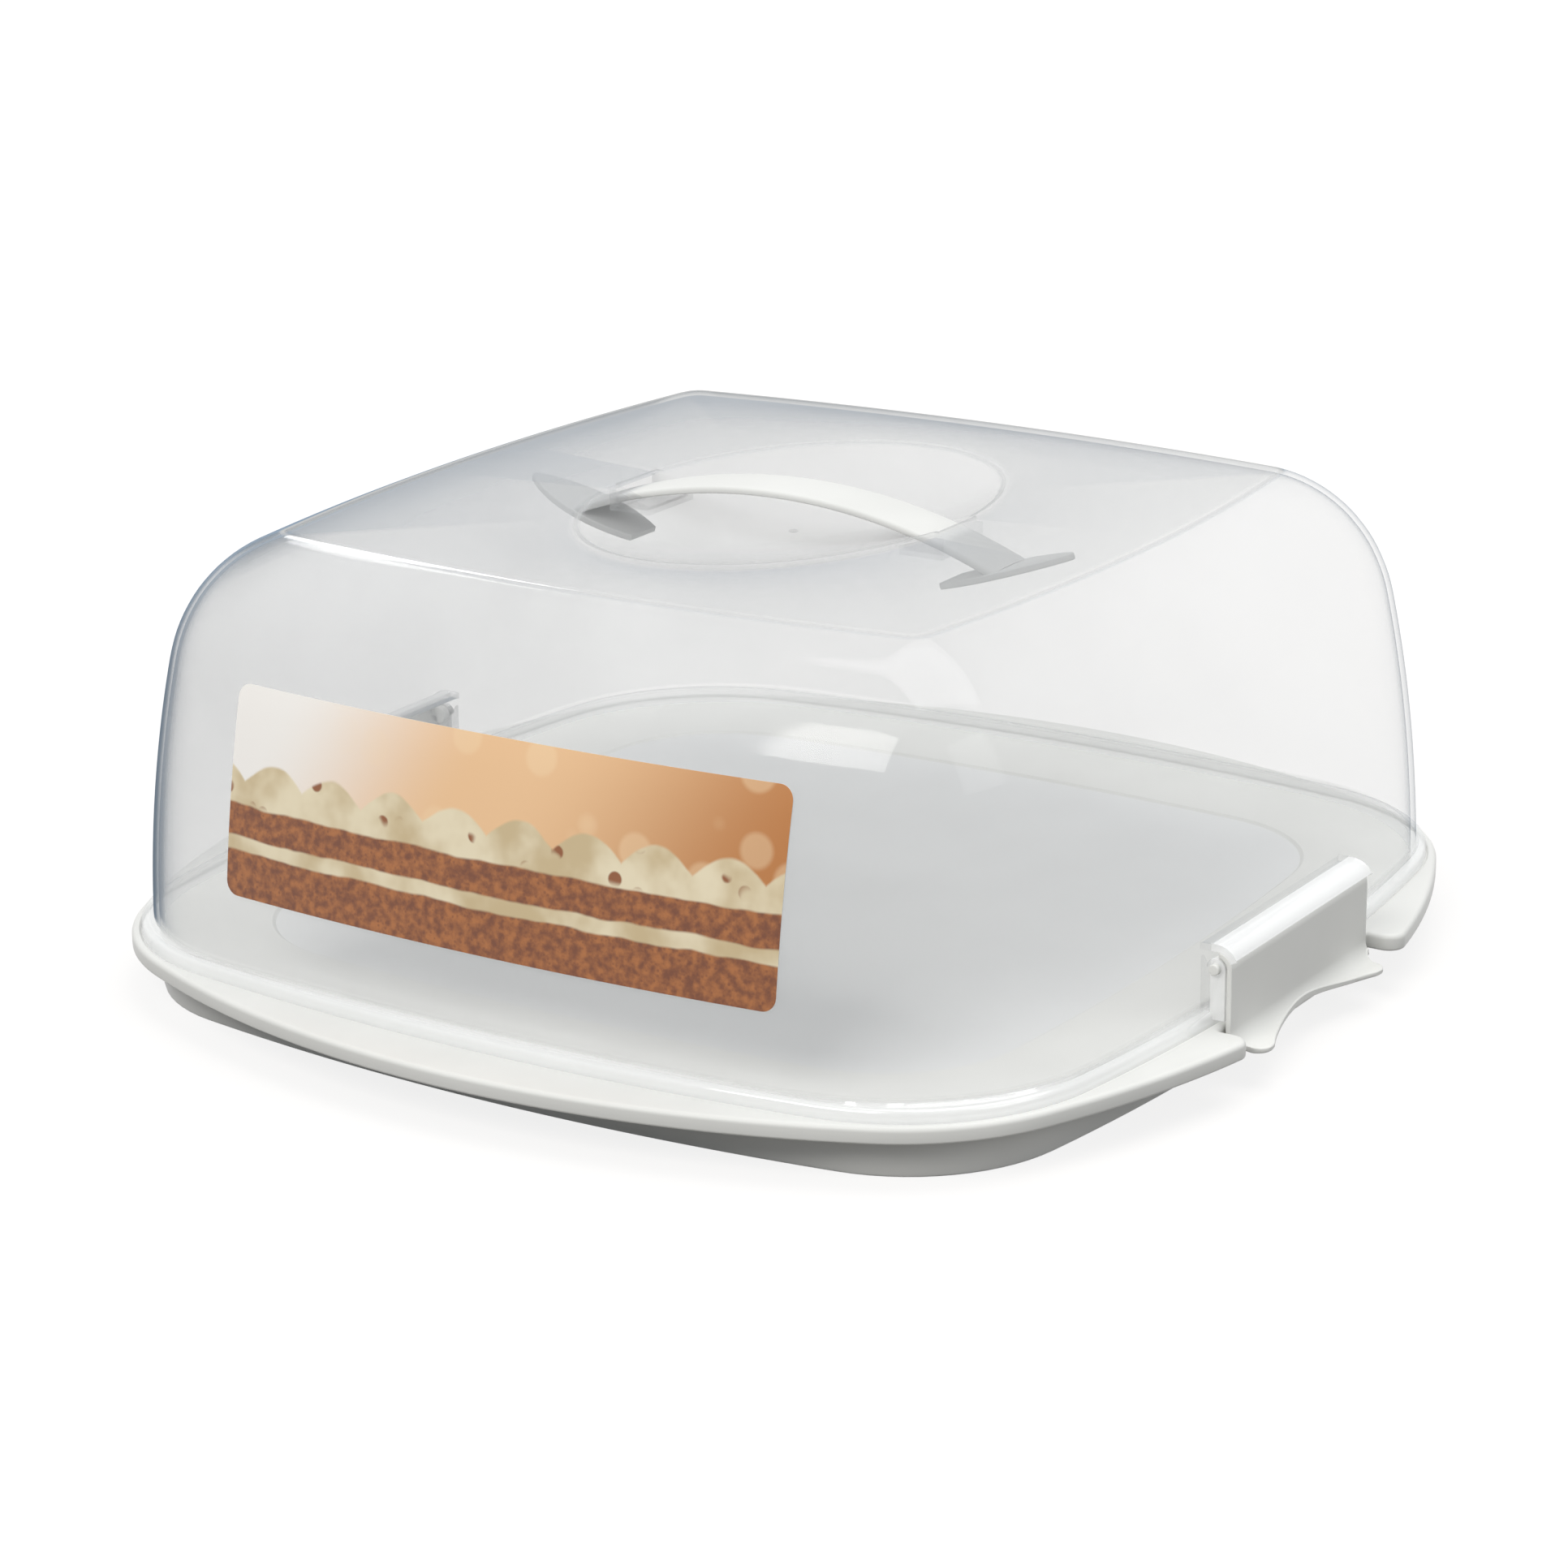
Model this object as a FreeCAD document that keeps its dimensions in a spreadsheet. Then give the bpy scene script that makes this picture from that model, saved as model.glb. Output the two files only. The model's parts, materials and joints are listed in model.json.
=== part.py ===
"""Cake box: a reversible tray, a domed lid with a sunk handle well, a strap handle and two side clips.

The frame is the box's own: Z up, the foot of the tray on Z = 0, the label on the -Y side, the clips on the
+X and -X sides and the handle strap along X. Lengths are millimetres and angles are degrees.
"""
import FreeCAD, Part
import math
import os
import re
import Sketcher

SIZES = (
    # The tray: flange, seat for the lid, foot and the cup rings under the floor
    ("flange_reach", 16.7, "flange, reach past the lid's rim at the middle of a side"),
    ("flange_bow", 36.6, "flange, how far a side bows out past its corners"),
    ("flange_corner", 65.5, "flange, corner radius"),
    ("flange_bottom", 12.4, "flange, height of its lower edge"),
    ("flange_depth", 4.8, "flange, height of its edge"),
    ("flange_top_round", 1.5, "flange, rounding of the upper edge"),
    ("flange_low_round", 0.8, "flange, rounding of the lower edge"),
    ("tray_wall", 2.0, "tray, wall and sheet"),
    ("seat_depth", 1.0, "seat, depth of the lid's seat below the flange"),
    ("seat_gap", 0.5, "seat, room round the lid's rim"),
    ("foot_inset", 6.3, "foot, how far its lower edge stands in from the lid's rim"),
    ("foot_bow", 14.6, "foot, how far a side bows out"),
    ("foot_corner", 48.7, "foot, corner radius"),
    ("foot_draft", 1.6, "foot, how much wider the wall is at its top"),
    ("notch_gap", 1.5, "clip notch in the flange, room past the clip's pins"),
    ("notch_round", 5.0, "clip notch, rounding of the flange ends"),
    ("ledge_lip", 1.2, "clip notch, tray left outside the seat"),
    ("ring_columns", 4, "cup rings along X"),
    ("ring_rows", 3, "cup rings along Y"),
    ("ring_gap_x", 6.0, "cup rings, room between neighbours along X"),
    ("ring_gap_y", 24.0, "cup rings, room between neighbours along Y"),
    ("ring_radius", 31.0, "cup rings, outer radius"),
    ("ring_wall", 1.6, "cup rings, wall"),
    ("ring_height", 3.0, "cup rings, height below the sheet"),
    # The lid: rim, wall, shoulder and top
    ("lid_wall", 1.6, "lid, wall"),
    ("rim_half", 158.3, "lid rim, centre to the middle of a side"),
    ("rim_bow", 14.9, "lid rim, how far a side bows out"),
    ("rim_corner", 59.7, "lid rim, corner radius"),
    ("rim_height", 4.4, "lid rim, height"),
    ("rim_round", 1.4, "lid rim, rounding of the upper edge"),
    ("wall_step", 2.8, "lid wall, how far it stands in from the rim"),
    ("wall_bow", 11.7, "lid wall at the rim, how far a side bows out"),
    ("wall_corner", 66.8, "lid wall at the rim, corner radius"),
    ("wall_lean", 2.7, "lid wall at the rim, angle from upright"),
    ("wall_height", 79.5, "lid wall, height up to the shoulder"),
    ("wall_radius", 440.0, "lid wall, radius of its upright curve"),
    ("shoulder_radius", 48.4, "lid shoulder, radius"),
    ("crease_slope", 15.2, "lid shoulder, slope where it meets the top"),
    ("crease_bow", 7.6, "crease round the top, how far a side bows out"),
    ("crease_corner", 5.2, "crease round the top, corner radius"),
    ("corner_blend", 0.75, "how early the corners sharpen towards the crease"),
    # The handle well in the lid's top, with a slot at each end of the strap
    ("well_half_x", 54.0, "well, half width across the strap's ends"),
    ("well_half_y", 77.0, "well, half length, the way a hand goes in"),
    ("well_depth", 9.4, "well, depth"),
    ("well_rise", 60.0, "well, height of its widest level above the top"),
    ("sleeve_length", 1.6, "slot sleeve, outer end past the well's edge"),
    ("sleeve_wall", 1.1, "slot sleeve, wall"),
    ("slot_mouth_gap", 0.9748, "slot, from its mouth to where the strap meets the well"),
    ("slot_side_gap", 0.9, "slot, room beside the strap"),
    ("slot_seat_gap", 0.3, "slot, room under the strap"),
    # The handle
    ("strap_rise", 4.5, "strap, crown above the lid's top"),
    ("strap_radius", 186.0, "strap, radius of its upper face"),
    ("strap_depth", 2.4, "strap, thickness"),
    ("strap_half", 9.4, "strap, half width"),
    ("strap_top_round", 1.7, "strap, rounding of its upper edges"),
    ("strap_low_round", 0.5, "strap, rounding of its lower edges"),
    ("leaf_reach", 17.0, "anchor leaf, its middle past the well's edge"),
    ("leaf_half", 20.0, "anchor leaf, half length"),
    ("leaf_end_half", 6.2, "anchor leaf, half width of the blunt inner end"),
    ("leaf_tip_half", 1.6, "anchor leaf, half width of the outer tip"),
    ("leaf_side_bulge", 5.8, "anchor leaf, bulge of its sides"),
    ("leaf_tip_bulge", 0.8, "anchor leaf, bulge of its tip"),
    ("leaf_depth", 2.0, "anchor leaf, thickness"),
    ("leaf_tilt", 18.0, "anchor leaf, tilt up towards its tip"),
    # The side clips and the lugs that carry them on the lid
    ("pin_inset", 0.6, "clip pin, inside the outer face of the lid's rim"),
    ("pin_height", 16.7, "clip pin, above the lid's seat"),
    ("pin_radius", 1.5, "clip pin, radius"),
    ("pin_gap", 0.08, "clip pin, radial running clearance in the lug"),
    ("pin_proud", 1.5, "clip pin, end past the lug's cheek"),
    ("clip_half", 41.5, "clip, half length"),
    ("clip_wall", 1.5, "clip, plate"),
    ("clip_gap", 0.4, "clip, room to the lug's cheek and hood"),
    ("curl_radius", 4.7, "clip, outer radius of the curl round the pin"),
    ("curl_sweep", 80.0, "clip, how far the curl goes over the pin"),
    ("cheek_wall", 1.8, "lug, cheek"),
    ("hood_wall", 1.4, "lug, hood over the clip"),
    ("hood_edge", 28.0, "lug, angle of the hood's lower edge above the pin"),
    ("knuckle_width", 3.0, "clip, knuckle that holds a pin"),
    ("knuckle_radius", 2.6, "clip, radius of the knuckle"),
    ("hook_gap", 0.3, "clip hook, room under the tray's ledge"),
    ("hook_bite", 2.8, "clip hook, reach under the tray's ledge"),
    ("hook_depth", 1.4, "clip hook, thickness"),
    ("hook_root", 1.2, "clip hook, how far it runs out under the lip"),
    ("hook_inset", 3.5, "clip hook, how far its ends stand in from the clip's"),
    ("lip_drop", 1.1, "clip lip, its top below the tray's ledge"),
    ("lip_flare", 5.0, "clip lip, radius where the plate flares out"),
    ("lip_reach", 8.6, "clip lip, reach of its two lobes past the plate"),
    ("lip_arch", 1.4, "clip lip, reach past the plate between the lobes"),
    ("lobe_radius", 8.4, "clip lip, radius of the lobes"),
    # The label on the front of the lid
    ("label_half", 89.0, "label, half width"),
    ("label_low", 25.8, "label, lower edge above the lid's seat"),
    ("label_high", 83.3, "label, upper edge above the lid's seat"),
    ("label_corner", 4.0, "label, corner radius"),
    ("label_depth", 0.3, "label, thickness"),
    ("label_gap", 0.1, "label, glue line"),
)

# Levels of the lid's loft, and how far a cutting block reaches past what it cuts
WALL_LEVELS = 6
SHOULDER_LEVELS = 4
FAR = 60.0

UPRIGHT = FreeCAD.Rotation(FreeCAD.Vector(1, 0, 0), 90)

document = FreeCAD.newDocument("CakeBox")
sizes = document.addObject("Spreadsheet::Sheet", "Sizes")
derived = document.addObject("App::VarSet", "Derived")
holders = {}


def fill_sheet():
    """Write each driving dimension into its own named cell."""
    for row, (alias, size, note) in enumerate(SIZES, start=1):
        sizes.set(f"A{row}", note)
        sizes.set(f"B{row}", str(size))
        sizes.setAlias(f"B{row}", alias)
        holders[alias] = "Sizes."
    document.recompute()


def formula(text):
    """Put the name of its holder before each dimension in a formula."""
    return re.sub(r"[a-z][a-z0-9_]*", lambda word: holders.get(word.group(), "") + word.group(), text)


def value(text):
    """Work out a formula of named dimensions."""
    return float(sizes.evalExpression(formula(text)))


def bind(feature, prop, text):
    """Tie a property of a feature to a formula of named dimensions."""
    feature.setExpression(prop, formula(text))


def derive(name, text):
    """Add a named dimension that follows from others."""
    derived.addProperty("App::PropertyFloat", name)
    bind(derived, name, text)
    holders[name] = "Derived."
    document.recompute()


def derive_levels():
    """Heights, and the lid's outline at each level from its rim to the crease round its top."""
    derive("flange_top", "flange_bottom + flange_depth")
    derive("seat", "flange_top - seat_depth")
    derive("sheet_low", "seat - tray_wall")
    derive("ledge_half", "rim_half + seat_gap + ledge_lip")
    derive("flange_half", "rim_half + flange_reach")
    derive("foot_half", "rim_half - foot_inset")
    derive("wall_half", "rim_half - wall_step")
    derive("turn_sine", "sin(wall_lean) + wall_height / wall_radius")
    derive("turn_angle", "asin(turn_sine) / 1 deg")
    derive("turn_cosine", "sqrt(1 - turn_sine ^ 2)")
    derive("turn_half", "wall_half - wall_radius * (cos(wall_lean) - turn_cosine)")
    derive("crease_half", "turn_half - shoulder_radius * (turn_cosine - sin(crease_slope))")
    derive("lid_top", "seat + wall_height + shoulder_radius * (cos(crease_slope) - turn_sine)")
    derive("top_under", "lid_top - lid_wall")
    for level in range(WALL_LEVELS + SHOULDER_LEVELS + 1):
        if level <= WALL_LEVELS:
            derive(f"sine_{level}", f"sin(wall_lean) + wall_height / wall_radius * {level} / {WALL_LEVELS}")
            derive(f"cosine_{level}", f"sqrt(1 - sine_{level} ^ 2)")
            derive(f"level_half_{level}", f"wall_half - wall_radius * (cos(wall_lean) - cosine_{level})")
            derive(f"level_{level}", f"seat + wall_height * {level} / {WALL_LEVELS}")
        else:
            share = f"{level - WALL_LEVELS} / {SHOULDER_LEVELS}"
            derive(f"sine_{level}", f"sin(turn_angle + (90 - crease_slope - turn_angle) * {share})")
            derive(f"cosine_{level}", f"sqrt(1 - sine_{level} ^ 2)")
            derive(f"level_half_{level}", f"turn_half - shoulder_radius * (turn_cosine - cosine_{level})")
            derive(f"level_{level}", f"seat + wall_height + shoulder_radius * (sine_{level} - turn_sine)")
        derive(f"share_{level}", f"abs(wall_half - level_half_{level}) / (wall_half - crease_half)")
        derive(f"level_bow_{level}", f"wall_bow + (crease_bow - wall_bow) * share_{level}")
        derive(f"level_corner_{level}",
               f"wall_corner + (crease_corner - wall_corner) * share_{level} ^ corner_blend")


def derive_places():
    """Sizes and places that the handle, the rings, the clips and the lugs share."""
    derive("sleeve_reach", "well_half_x + sleeve_length")
    derive("leaf_place", "well_half_x + leaf_reach")
    derive("strap_centre", "lid_top + strap_rise - strap_radius")
    derive("strap_under", "strap_radius - strap_depth")
    derive("slot_floor", "strap_centre + sqrt(strap_under ^ 2 - sleeve_reach ^ 2) - slot_seat_gap")
    derive("slot_half", "strap_half + slot_side_gap")
    derive("strap_meets_well", "sqrt((well_depth + strap_rise - strap_depth)"
           " / (1 / (2 * strap_under) + well_depth / well_half_x ^ 2))")
    derive("slot_start", "strap_meets_well - slot_mouth_gap")
    derive("leaf_level", "strap_centre + sqrt((strap_radius - strap_depth / 2) ^ 2 - leaf_place ^ 2)")
    derive("leaf_side_square", "leaf_half ^ 2 + (leaf_end_half - leaf_tip_half) ^ 2 / 4")
    derive("leaf_side_radius", "(leaf_side_square + leaf_side_bulge ^ 2) / (2 * leaf_side_bulge)")
    derive("leaf_tip_radius", "(leaf_tip_half ^ 2 + leaf_tip_bulge ^ 2) / (2 * leaf_tip_bulge)")
    derive("notch_half", "clip_half + pin_proud + notch_gap")
    derive("ring_pitch_x", "2 * ring_radius + ring_gap_x")
    derive("ring_pitch_y", "2 * ring_radius + ring_gap_y")
    derive("pin_x", "rim_half - pin_inset")
    derive("pin_z", "seat + pin_height")
    derive("plate_out", "pin_x + curl_radius")
    derive("plate_in", "plate_out - clip_wall")
    derive("cheek_radius", "curl_radius - clip_wall - clip_gap")
    derive("cheek_in", "clip_half - cheek_wall")
    derive("hood_radius", "curl_radius + clip_gap")
    derive("lip_top", "flange_bottom - lip_drop")
    derive("lip_low", "lip_top - clip_wall")
    derive("hook_top", "flange_bottom - hook_gap")
    derive("hook_tip", "ledge_half - hook_bite")
    derive("hook_half", "clip_half - hook_inset")
    derive("lobe_x", "plate_out + lip_reach - lobe_radius")
    derive("lobe_y", "clip_half - lobe_radius")
    derive("arch_x", "plate_out + lip_arch")
    derive("arch_in", "arch_x - lobe_x")
    derive("arch_radius", "(arch_in ^ 2 + lobe_y ^ 2 - lobe_radius ^ 2) / (2 * (lobe_radius - arch_in))")
    derive("arch_share", "lobe_radius / (lobe_radius + arch_radius)")
    derive("lobe_turn_x", "lobe_x + (arch_x + arch_radius - lobe_x) * arch_share")
    derive("lobe_turn_y", "lobe_y * (1 - arch_share)")


def bowed_sketch(name, half, bow, corner, height, inset="0"):
    """Sketch a square with bowed sides and round corners: four side arcs and four corner arcs.

    The inset moves the whole outline inwards, with the arcs' centres kept.
    """
    sketch = document.addObject("Sketcher::SketchObject", name)
    bind(sketch, "Placement.Base.z", height)
    side_text = f"((({half}) - ({bow})) ^ 2 + ({bow}) ^ 2) / (2 * ({bow}))"
    back_text = f"{side_text} - ({half})"
    side = value(side_text)
    back = value(back_text)
    spread = side - value(corner)
    corner_centre = (math.sqrt(2 * spread ** 2 - back ** 2) - back) / 2
    swing = math.atan2(corner_centre, corner_centre + back)
    up = FreeCAD.Vector(0, 0, 1)
    for quarter in range(4):
        turn = FreeCAD.Rotation(up, 90 * quarter)
        start = math.radians(90 * quarter)
        side_place = turn.multVec(FreeCAD.Vector(-back, 0, 0))
        side_circle = Part.Circle(side_place, up, side - value(inset))
        sketch.addGeometry(Part.ArcOfCircle(side_circle, start - swing, start + swing))
        corner_place = turn.multVec(FreeCAD.Vector(corner_centre, corner_centre, 0))
        corner_circle = Part.Circle(corner_place, up, value(corner) - value(inset))
        sketch.addGeometry(Part.ArcOfCircle(corner_circle, start + swing, start + math.pi / 2 - swing))
    for arc in range(8):
        sketch.addConstraint(Sketcher.Constraint("Tangent", arc, 2, (arc + 1) % 8, 1))
    for arc in (0, 4):
        sketch.addConstraint(Sketcher.Constraint("PointOnObject", arc, 3, -1))
    for arc in (2, 6):
        sketch.addConstraint(Sketcher.Constraint("PointOnObject", arc, 3, -2))
    for arc in (2, 4, 6):
        sketch.addConstraint(Sketcher.Constraint("Equal", 0, arc))
        sketch.addConstraint(Sketcher.Constraint("Equal", 1, arc + 1))
    named = (
        ("side_radius", Sketcher.Constraint("Radius", 0, side - value(inset)), f"{side_text} - ({inset})"),
        ("corner_radius", Sketcher.Constraint("Radius", 1, value(corner) - value(inset)),
         f"({corner}) - ({inset})"),
        ("right_back", Sketcher.Constraint("DistanceX", 0, 3, -1, 1, back), back_text),
        ("rear_back", Sketcher.Constraint("DistanceY", 2, 3, -1, 1, back), back_text),
        ("left_back", Sketcher.Constraint("DistanceX", -1, 1, 4, 3, back), back_text),
        ("front_back", Sketcher.Constraint("DistanceY", -1, 1, 6, 3, back), back_text),
    )
    add_named(sketch, named)
    return sketch


def add_named(sketch, named):
    """Add dimensions to a sketch and tie each to its formula."""
    for name, constraint, text in named:
        index = sketch.addConstraint(constraint)
        sketch.renameConstraint(index, name)
        bind(sketch, f"Constraints.{name}", text)


def outline(sketch, corners):
    """Draw a closed outline in a sketch.

    Each corner is (x, y, arc): two formulas for its place, and None where a line leads to the next corner or
    (radius, turn) where an arc does, with turn 1 for anticlockwise and -1 for clockwise.
    """
    points = [FreeCAD.Vector(value(x), value(y), 0) for x, y, arc in corners]
    count = len(corners)
    ends = []
    for number, (x, y, arc) in enumerate(corners):
        first = points[number]
        last = points[(number + 1) % count]
        if arc is None:
            sketch.addGeometry(Part.LineSegment(first, last))
            ends.append((1, 2))
            continue
        radius, turn = value(arc[0]), arc[1]
        chord = last - first
        half_chord = chord.Length / 2
        rise = math.sqrt(max(radius ** 2 - half_chord ** 2, 0))
        across = FreeCAD.Vector(-chord.y, chord.x, 0).normalize()
        centre = (first + last) / 2 + across * (rise * turn)
        begin, finish = (first, last) if turn > 0 else (last, first)
        start_angle = math.atan2(begin.y - centre.y, begin.x - centre.x)
        end_angle = math.atan2(finish.y - centre.y, finish.x - centre.x)
        if end_angle < start_angle:
            end_angle += 2 * math.pi
        circle = Part.Circle(centre, FreeCAD.Vector(0, 0, 1), radius)
        sketch.addGeometry(Part.ArcOfCircle(circle, start_angle, end_angle))
        ends.append((1, 2) if turn > 0 else (2, 1))
    for number in range(count):
        following = (number + 1) % count
        sketch.addConstraint(
            Sketcher.Constraint("Coincident", number, ends[number][1], following, ends[following][0]))
    for number, (x, y, arc) in enumerate(corners):
        place = (number, ends[number][0])
        named = [
            (f"x{number}", Sketcher.Constraint("DistanceX", -1, 1, *place, points[number].x), x),
            (f"y{number}", Sketcher.Constraint("DistanceY", -1, 1, *place, points[number].y), y),
        ]
        if arc is not None:
            named.append((f"arc{number}", Sketcher.Constraint("Radius", number, value(arc[0])), arc[0]))
        add_named(sketch, named)
    return sketch


def loose_sketch(name, rotation=FreeCAD.Rotation()):
    """Add a sketch that belongs to no body, on the ground plane or turned from it."""
    sketch = document.addObject("Sketcher::SketchObject", name)
    sketch.Placement = FreeCAD.Placement(FreeCAD.Vector(), rotation)
    return sketch


def extrude(name, sketch, length, symmetric=False):
    """Extrude a sketch along its normal."""
    solid = document.addObject("Part::Extrusion", name)
    solid.Base = sketch
    solid.DirMode = "Normal"
    solid.Solid = True
    solid.Symmetric = symmetric
    bind(solid, "LengthFwd", length)
    return solid


def loft(name, sections):
    """Loft a solid through sketches."""
    solid = document.addObject("Part::Loft", name)
    solid.Sections = sections
    solid.Solid = True
    return solid


def box(name, low, high):
    """Add a box between two corners, each given as three formulas."""
    solid = document.addObject("Part::Box", name)
    for axis, side, start, end in zip("xyz", ("Length", "Width", "Height"), low, high):
        bind(solid, f"Placement.Base.{axis}", start)
        bind(solid, side, f"({end}) - ({start})")
    return solid


def rod(name, radius, x, z, start, end, sweep="360", turn=0):
    """Add a cylinder along Y, or a sector of one that starts at an angle up from +X."""
    solid = document.addObject("Part::Cylinder", name)
    spin = FreeCAD.Rotation(FreeCAD.Vector(0, 0, 1), turn)
    solid.Placement = FreeCAD.Placement(FreeCAD.Vector(), UPRIGHT * spin)
    bind(solid, "Radius", radius)
    bind(solid, "Height", f"({end}) - ({start})")
    bind(solid, "Angle", sweep)
    bind(solid, "Placement.Base.x", x)
    bind(solid, "Placement.Base.y", end)
    bind(solid, "Placement.Base.z", z)
    return solid


def cut(name, base, tool):
    """Cut one solid from another."""
    result = document.addObject("Part::Cut", name)
    result.Base = base
    result.Tool = tool
    return result


def common(name, first, second):
    """Keep what two solids share."""
    result = document.addObject("Part::MultiCommon", name)
    result.Shapes = [first, second]
    return result


def fuse(name, pieces):
    """Join solids into one."""
    result = document.addObject("Part::MultiFuse", name)
    result.Shapes = pieces
    result.Refine = True
    return result


def mirrored(name, source):
    """Copy a piece to the other side of the plane X = 0."""
    result = document.addObject("Part::Mirroring", name)
    result.Source = source
    result.Normal = FreeCAD.Vector(1, 0, 0)
    return result


def rounded(name, base, radius, wanted):
    """Round the edges of a solid that a test picks."""
    document.recompute()
    result = document.addObject("Part::Fillet", name)
    result.Base = base
    size = value(radius)
    numbered = enumerate(base.Shape.Edges, start=1)
    result.Edges = [(number, size, size) for number, edge in numbered if wanted(edge)]
    return result


def at_level(edge, height):
    """Say whether an edge lies flat at a height."""
    return max(abs(edge.BoundBox.ZMin - height), abs(edge.BoundBox.ZMax - height)) < 1e-4


def is_upright(edge):
    """Say whether an edge is a vertical straight line."""
    return edge.BoundBox.XLength + edge.BoundBox.YLength < 1e-4


def body_sketch(body, name, role):
    """Add a sketch to a body, on one of its origin planes."""
    sketch = body.newObject("Sketcher::SketchObject", name)
    plane = next(feature for feature in body.Origin.OriginFeatures if feature.Role == role)
    sketch.AttachmentSupport = (plane, "")
    sketch.MapMode = "FlatFace"
    return sketch


def build_tray():
    """The reversible tray: a sheet with a hollow flange, a foot and twelve cup rings under it."""
    flange_sizes = ("flange_half", "flange_bow", "flange_corner")
    plate_sketch = bowed_sketch("FlangeOutline", *flange_sizes, "flange_bottom")
    plate = extrude("FlangePlate", plate_sketch, "flange_depth")
    far_x = f"flange_half + {FAR}"
    notch_low = ("ledge_half", "-notch_half", f"flange_bottom - {FAR}")
    notch_high = (far_x, "notch_half", f"flange_top + {FAR}")
    notch = box("Notch", notch_low, notch_high)
    notches = fuse("Notches", [notch, mirrored("NotchLeft", notch)])
    notched = cut("NotchedPlate", plate, notches)
    softened = rounded("FlangeEnds", notched, "notch_round",
                       lambda edge: is_upright(edge) and abs(edge.BoundBox.XMin) > value("ledge_half") + 1)
    crowned = rounded("FlangeTopEdge", softened, "flange_top_round",
                      lambda edge: at_level(edge, value("flange_top")))
    eased = rounded("FlangeLowEdge", crowned, "flange_low_round",
                    lambda edge: at_level(edge, value("flange_bottom")))
    seat_sketch = bowed_sketch("SeatOutline", "rim_half", "rim_bow", "rim_corner", "seat", "-seat_gap")
    seated = cut("SeatedPlate", eased, extrude("SeatRecess", seat_sketch, f"seat_depth + {FAR}"))
    hollow_sketch = bowed_sketch("HollowOutline", *flange_sizes, f"flange_bottom - {FAR}", "tray_wall")
    hollow_plate = extrude("HollowPlate", hollow_sketch, f"sheet_low - flange_bottom + {FAR}")
    wide_notch = box("WideNotch", ("ledge_half - tray_wall", "-(notch_half + tray_wall)", notch_low[2]),
                     (far_x, "notch_half + tray_wall", notch_high[2]))
    wide_notches = fuse("WideNotches", [wide_notch, mirrored("WideNotchLeft", wide_notch)])
    sheet = cut("HollowSheet", seated, cut("Hollow", hollow_plate, wide_notches))
    return fuse("Tray", [sheet, build_foot(), build_rings()])


def build_foot():
    """The wall that the tray stands on, wider at its top."""
    root = "sheet_low + tray_wall / 2"
    sides = ("foot_bow", "foot_corner")
    wide = "foot_half + foot_draft"
    outer = loft("FootOuter", [bowed_sketch("FootLow", "foot_half", *sides, "0"),
                               bowed_sketch("FootHigh", wide, *sides, root)])
    inner = loft("FootInner", [bowed_sketch("FootInnerLow", "foot_half", *sides, "0", "tray_wall"),
                               bowed_sketch("FootInnerHigh", wide, *sides, root, "tray_wall")])
    return cut("Foot", outer, inner)


def build_rings():
    """The rings that hold cup cakes when the tray is turned over."""
    sketch = loose_sketch("RingGrid")
    bind(sketch, "Placement.Base.z", "sheet_low - ring_height")
    up = FreeCAD.Vector(0, 0, 1)
    columns = int(value("ring_columns"))
    rows = int(value("ring_rows"))
    for number in range(columns * rows):
        column, row = number % columns, number // columns
        x = f"ring_pitch_x * ({column} - (ring_columns - 1) / 2)"
        y = f"ring_pitch_y * ({row} - (ring_rows - 1) / 2)"
        centre = FreeCAD.Vector(value(x), value(y), 0)
        outer = sketch.addGeometry(Part.Circle(centre, up, value("ring_radius")))
        inner = sketch.addGeometry(Part.Circle(centre, up, value("ring_radius - ring_wall")))
        sketch.addConstraint(Sketcher.Constraint("Coincident", outer, 3, inner, 3))
        add_named(sketch, (
            (f"x{number}", Sketcher.Constraint("DistanceX", -1, 1, outer, 3, centre.x), x),
            (f"y{number}", Sketcher.Constraint("DistanceY", -1, 1, outer, 3, centre.y), y),
            (f"outer{number}", Sketcher.Constraint("Radius", outer, value("ring_radius")), "ring_radius"),
            (f"inner{number}", Sketcher.Constraint("Radius", inner, value("ring_radius - ring_wall")),
             "ring_radius - ring_wall"),
        ))
    return extrude("Rings", sketch, "ring_height + tray_wall / 2")


def lid_loft(name, inset):
    """Loft the lid's form through its levels, moved inwards by an inset measured square to the wall."""
    sections = []
    for level in range(WALL_LEVELS + SHOULDER_LEVELS + 1):
        sections.append(bowed_sketch(
            f"{name}Level{level}", f"level_half_{level}", f"level_bow_{level}", f"level_corner_{level}",
            f"level_{level} - ({inset}) * sine_{level}", f"({inset}) * cosine_{level}"))
    return loft(name, sections)


def ellipsoid(name, grow):
    """The handle well as the lower half of an ellipsoid, grown by a wall."""
    solid = document.addObject("Part::Ellipsoid", name)
    solid.Angle2 = 0
    spread = "sqrt(1 - (well_rise / (well_rise + well_depth)) ^ 2)"
    bind(solid, "Radius1", f"well_rise + well_depth + {grow}")
    bind(solid, "Radius2", f"well_half_x / {spread} + {grow}")
    bind(solid, "Radius3", f"well_half_y / {spread} + {grow}")
    bind(solid, "Placement.Base.z", "lid_top + well_rise")
    return solid


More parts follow.
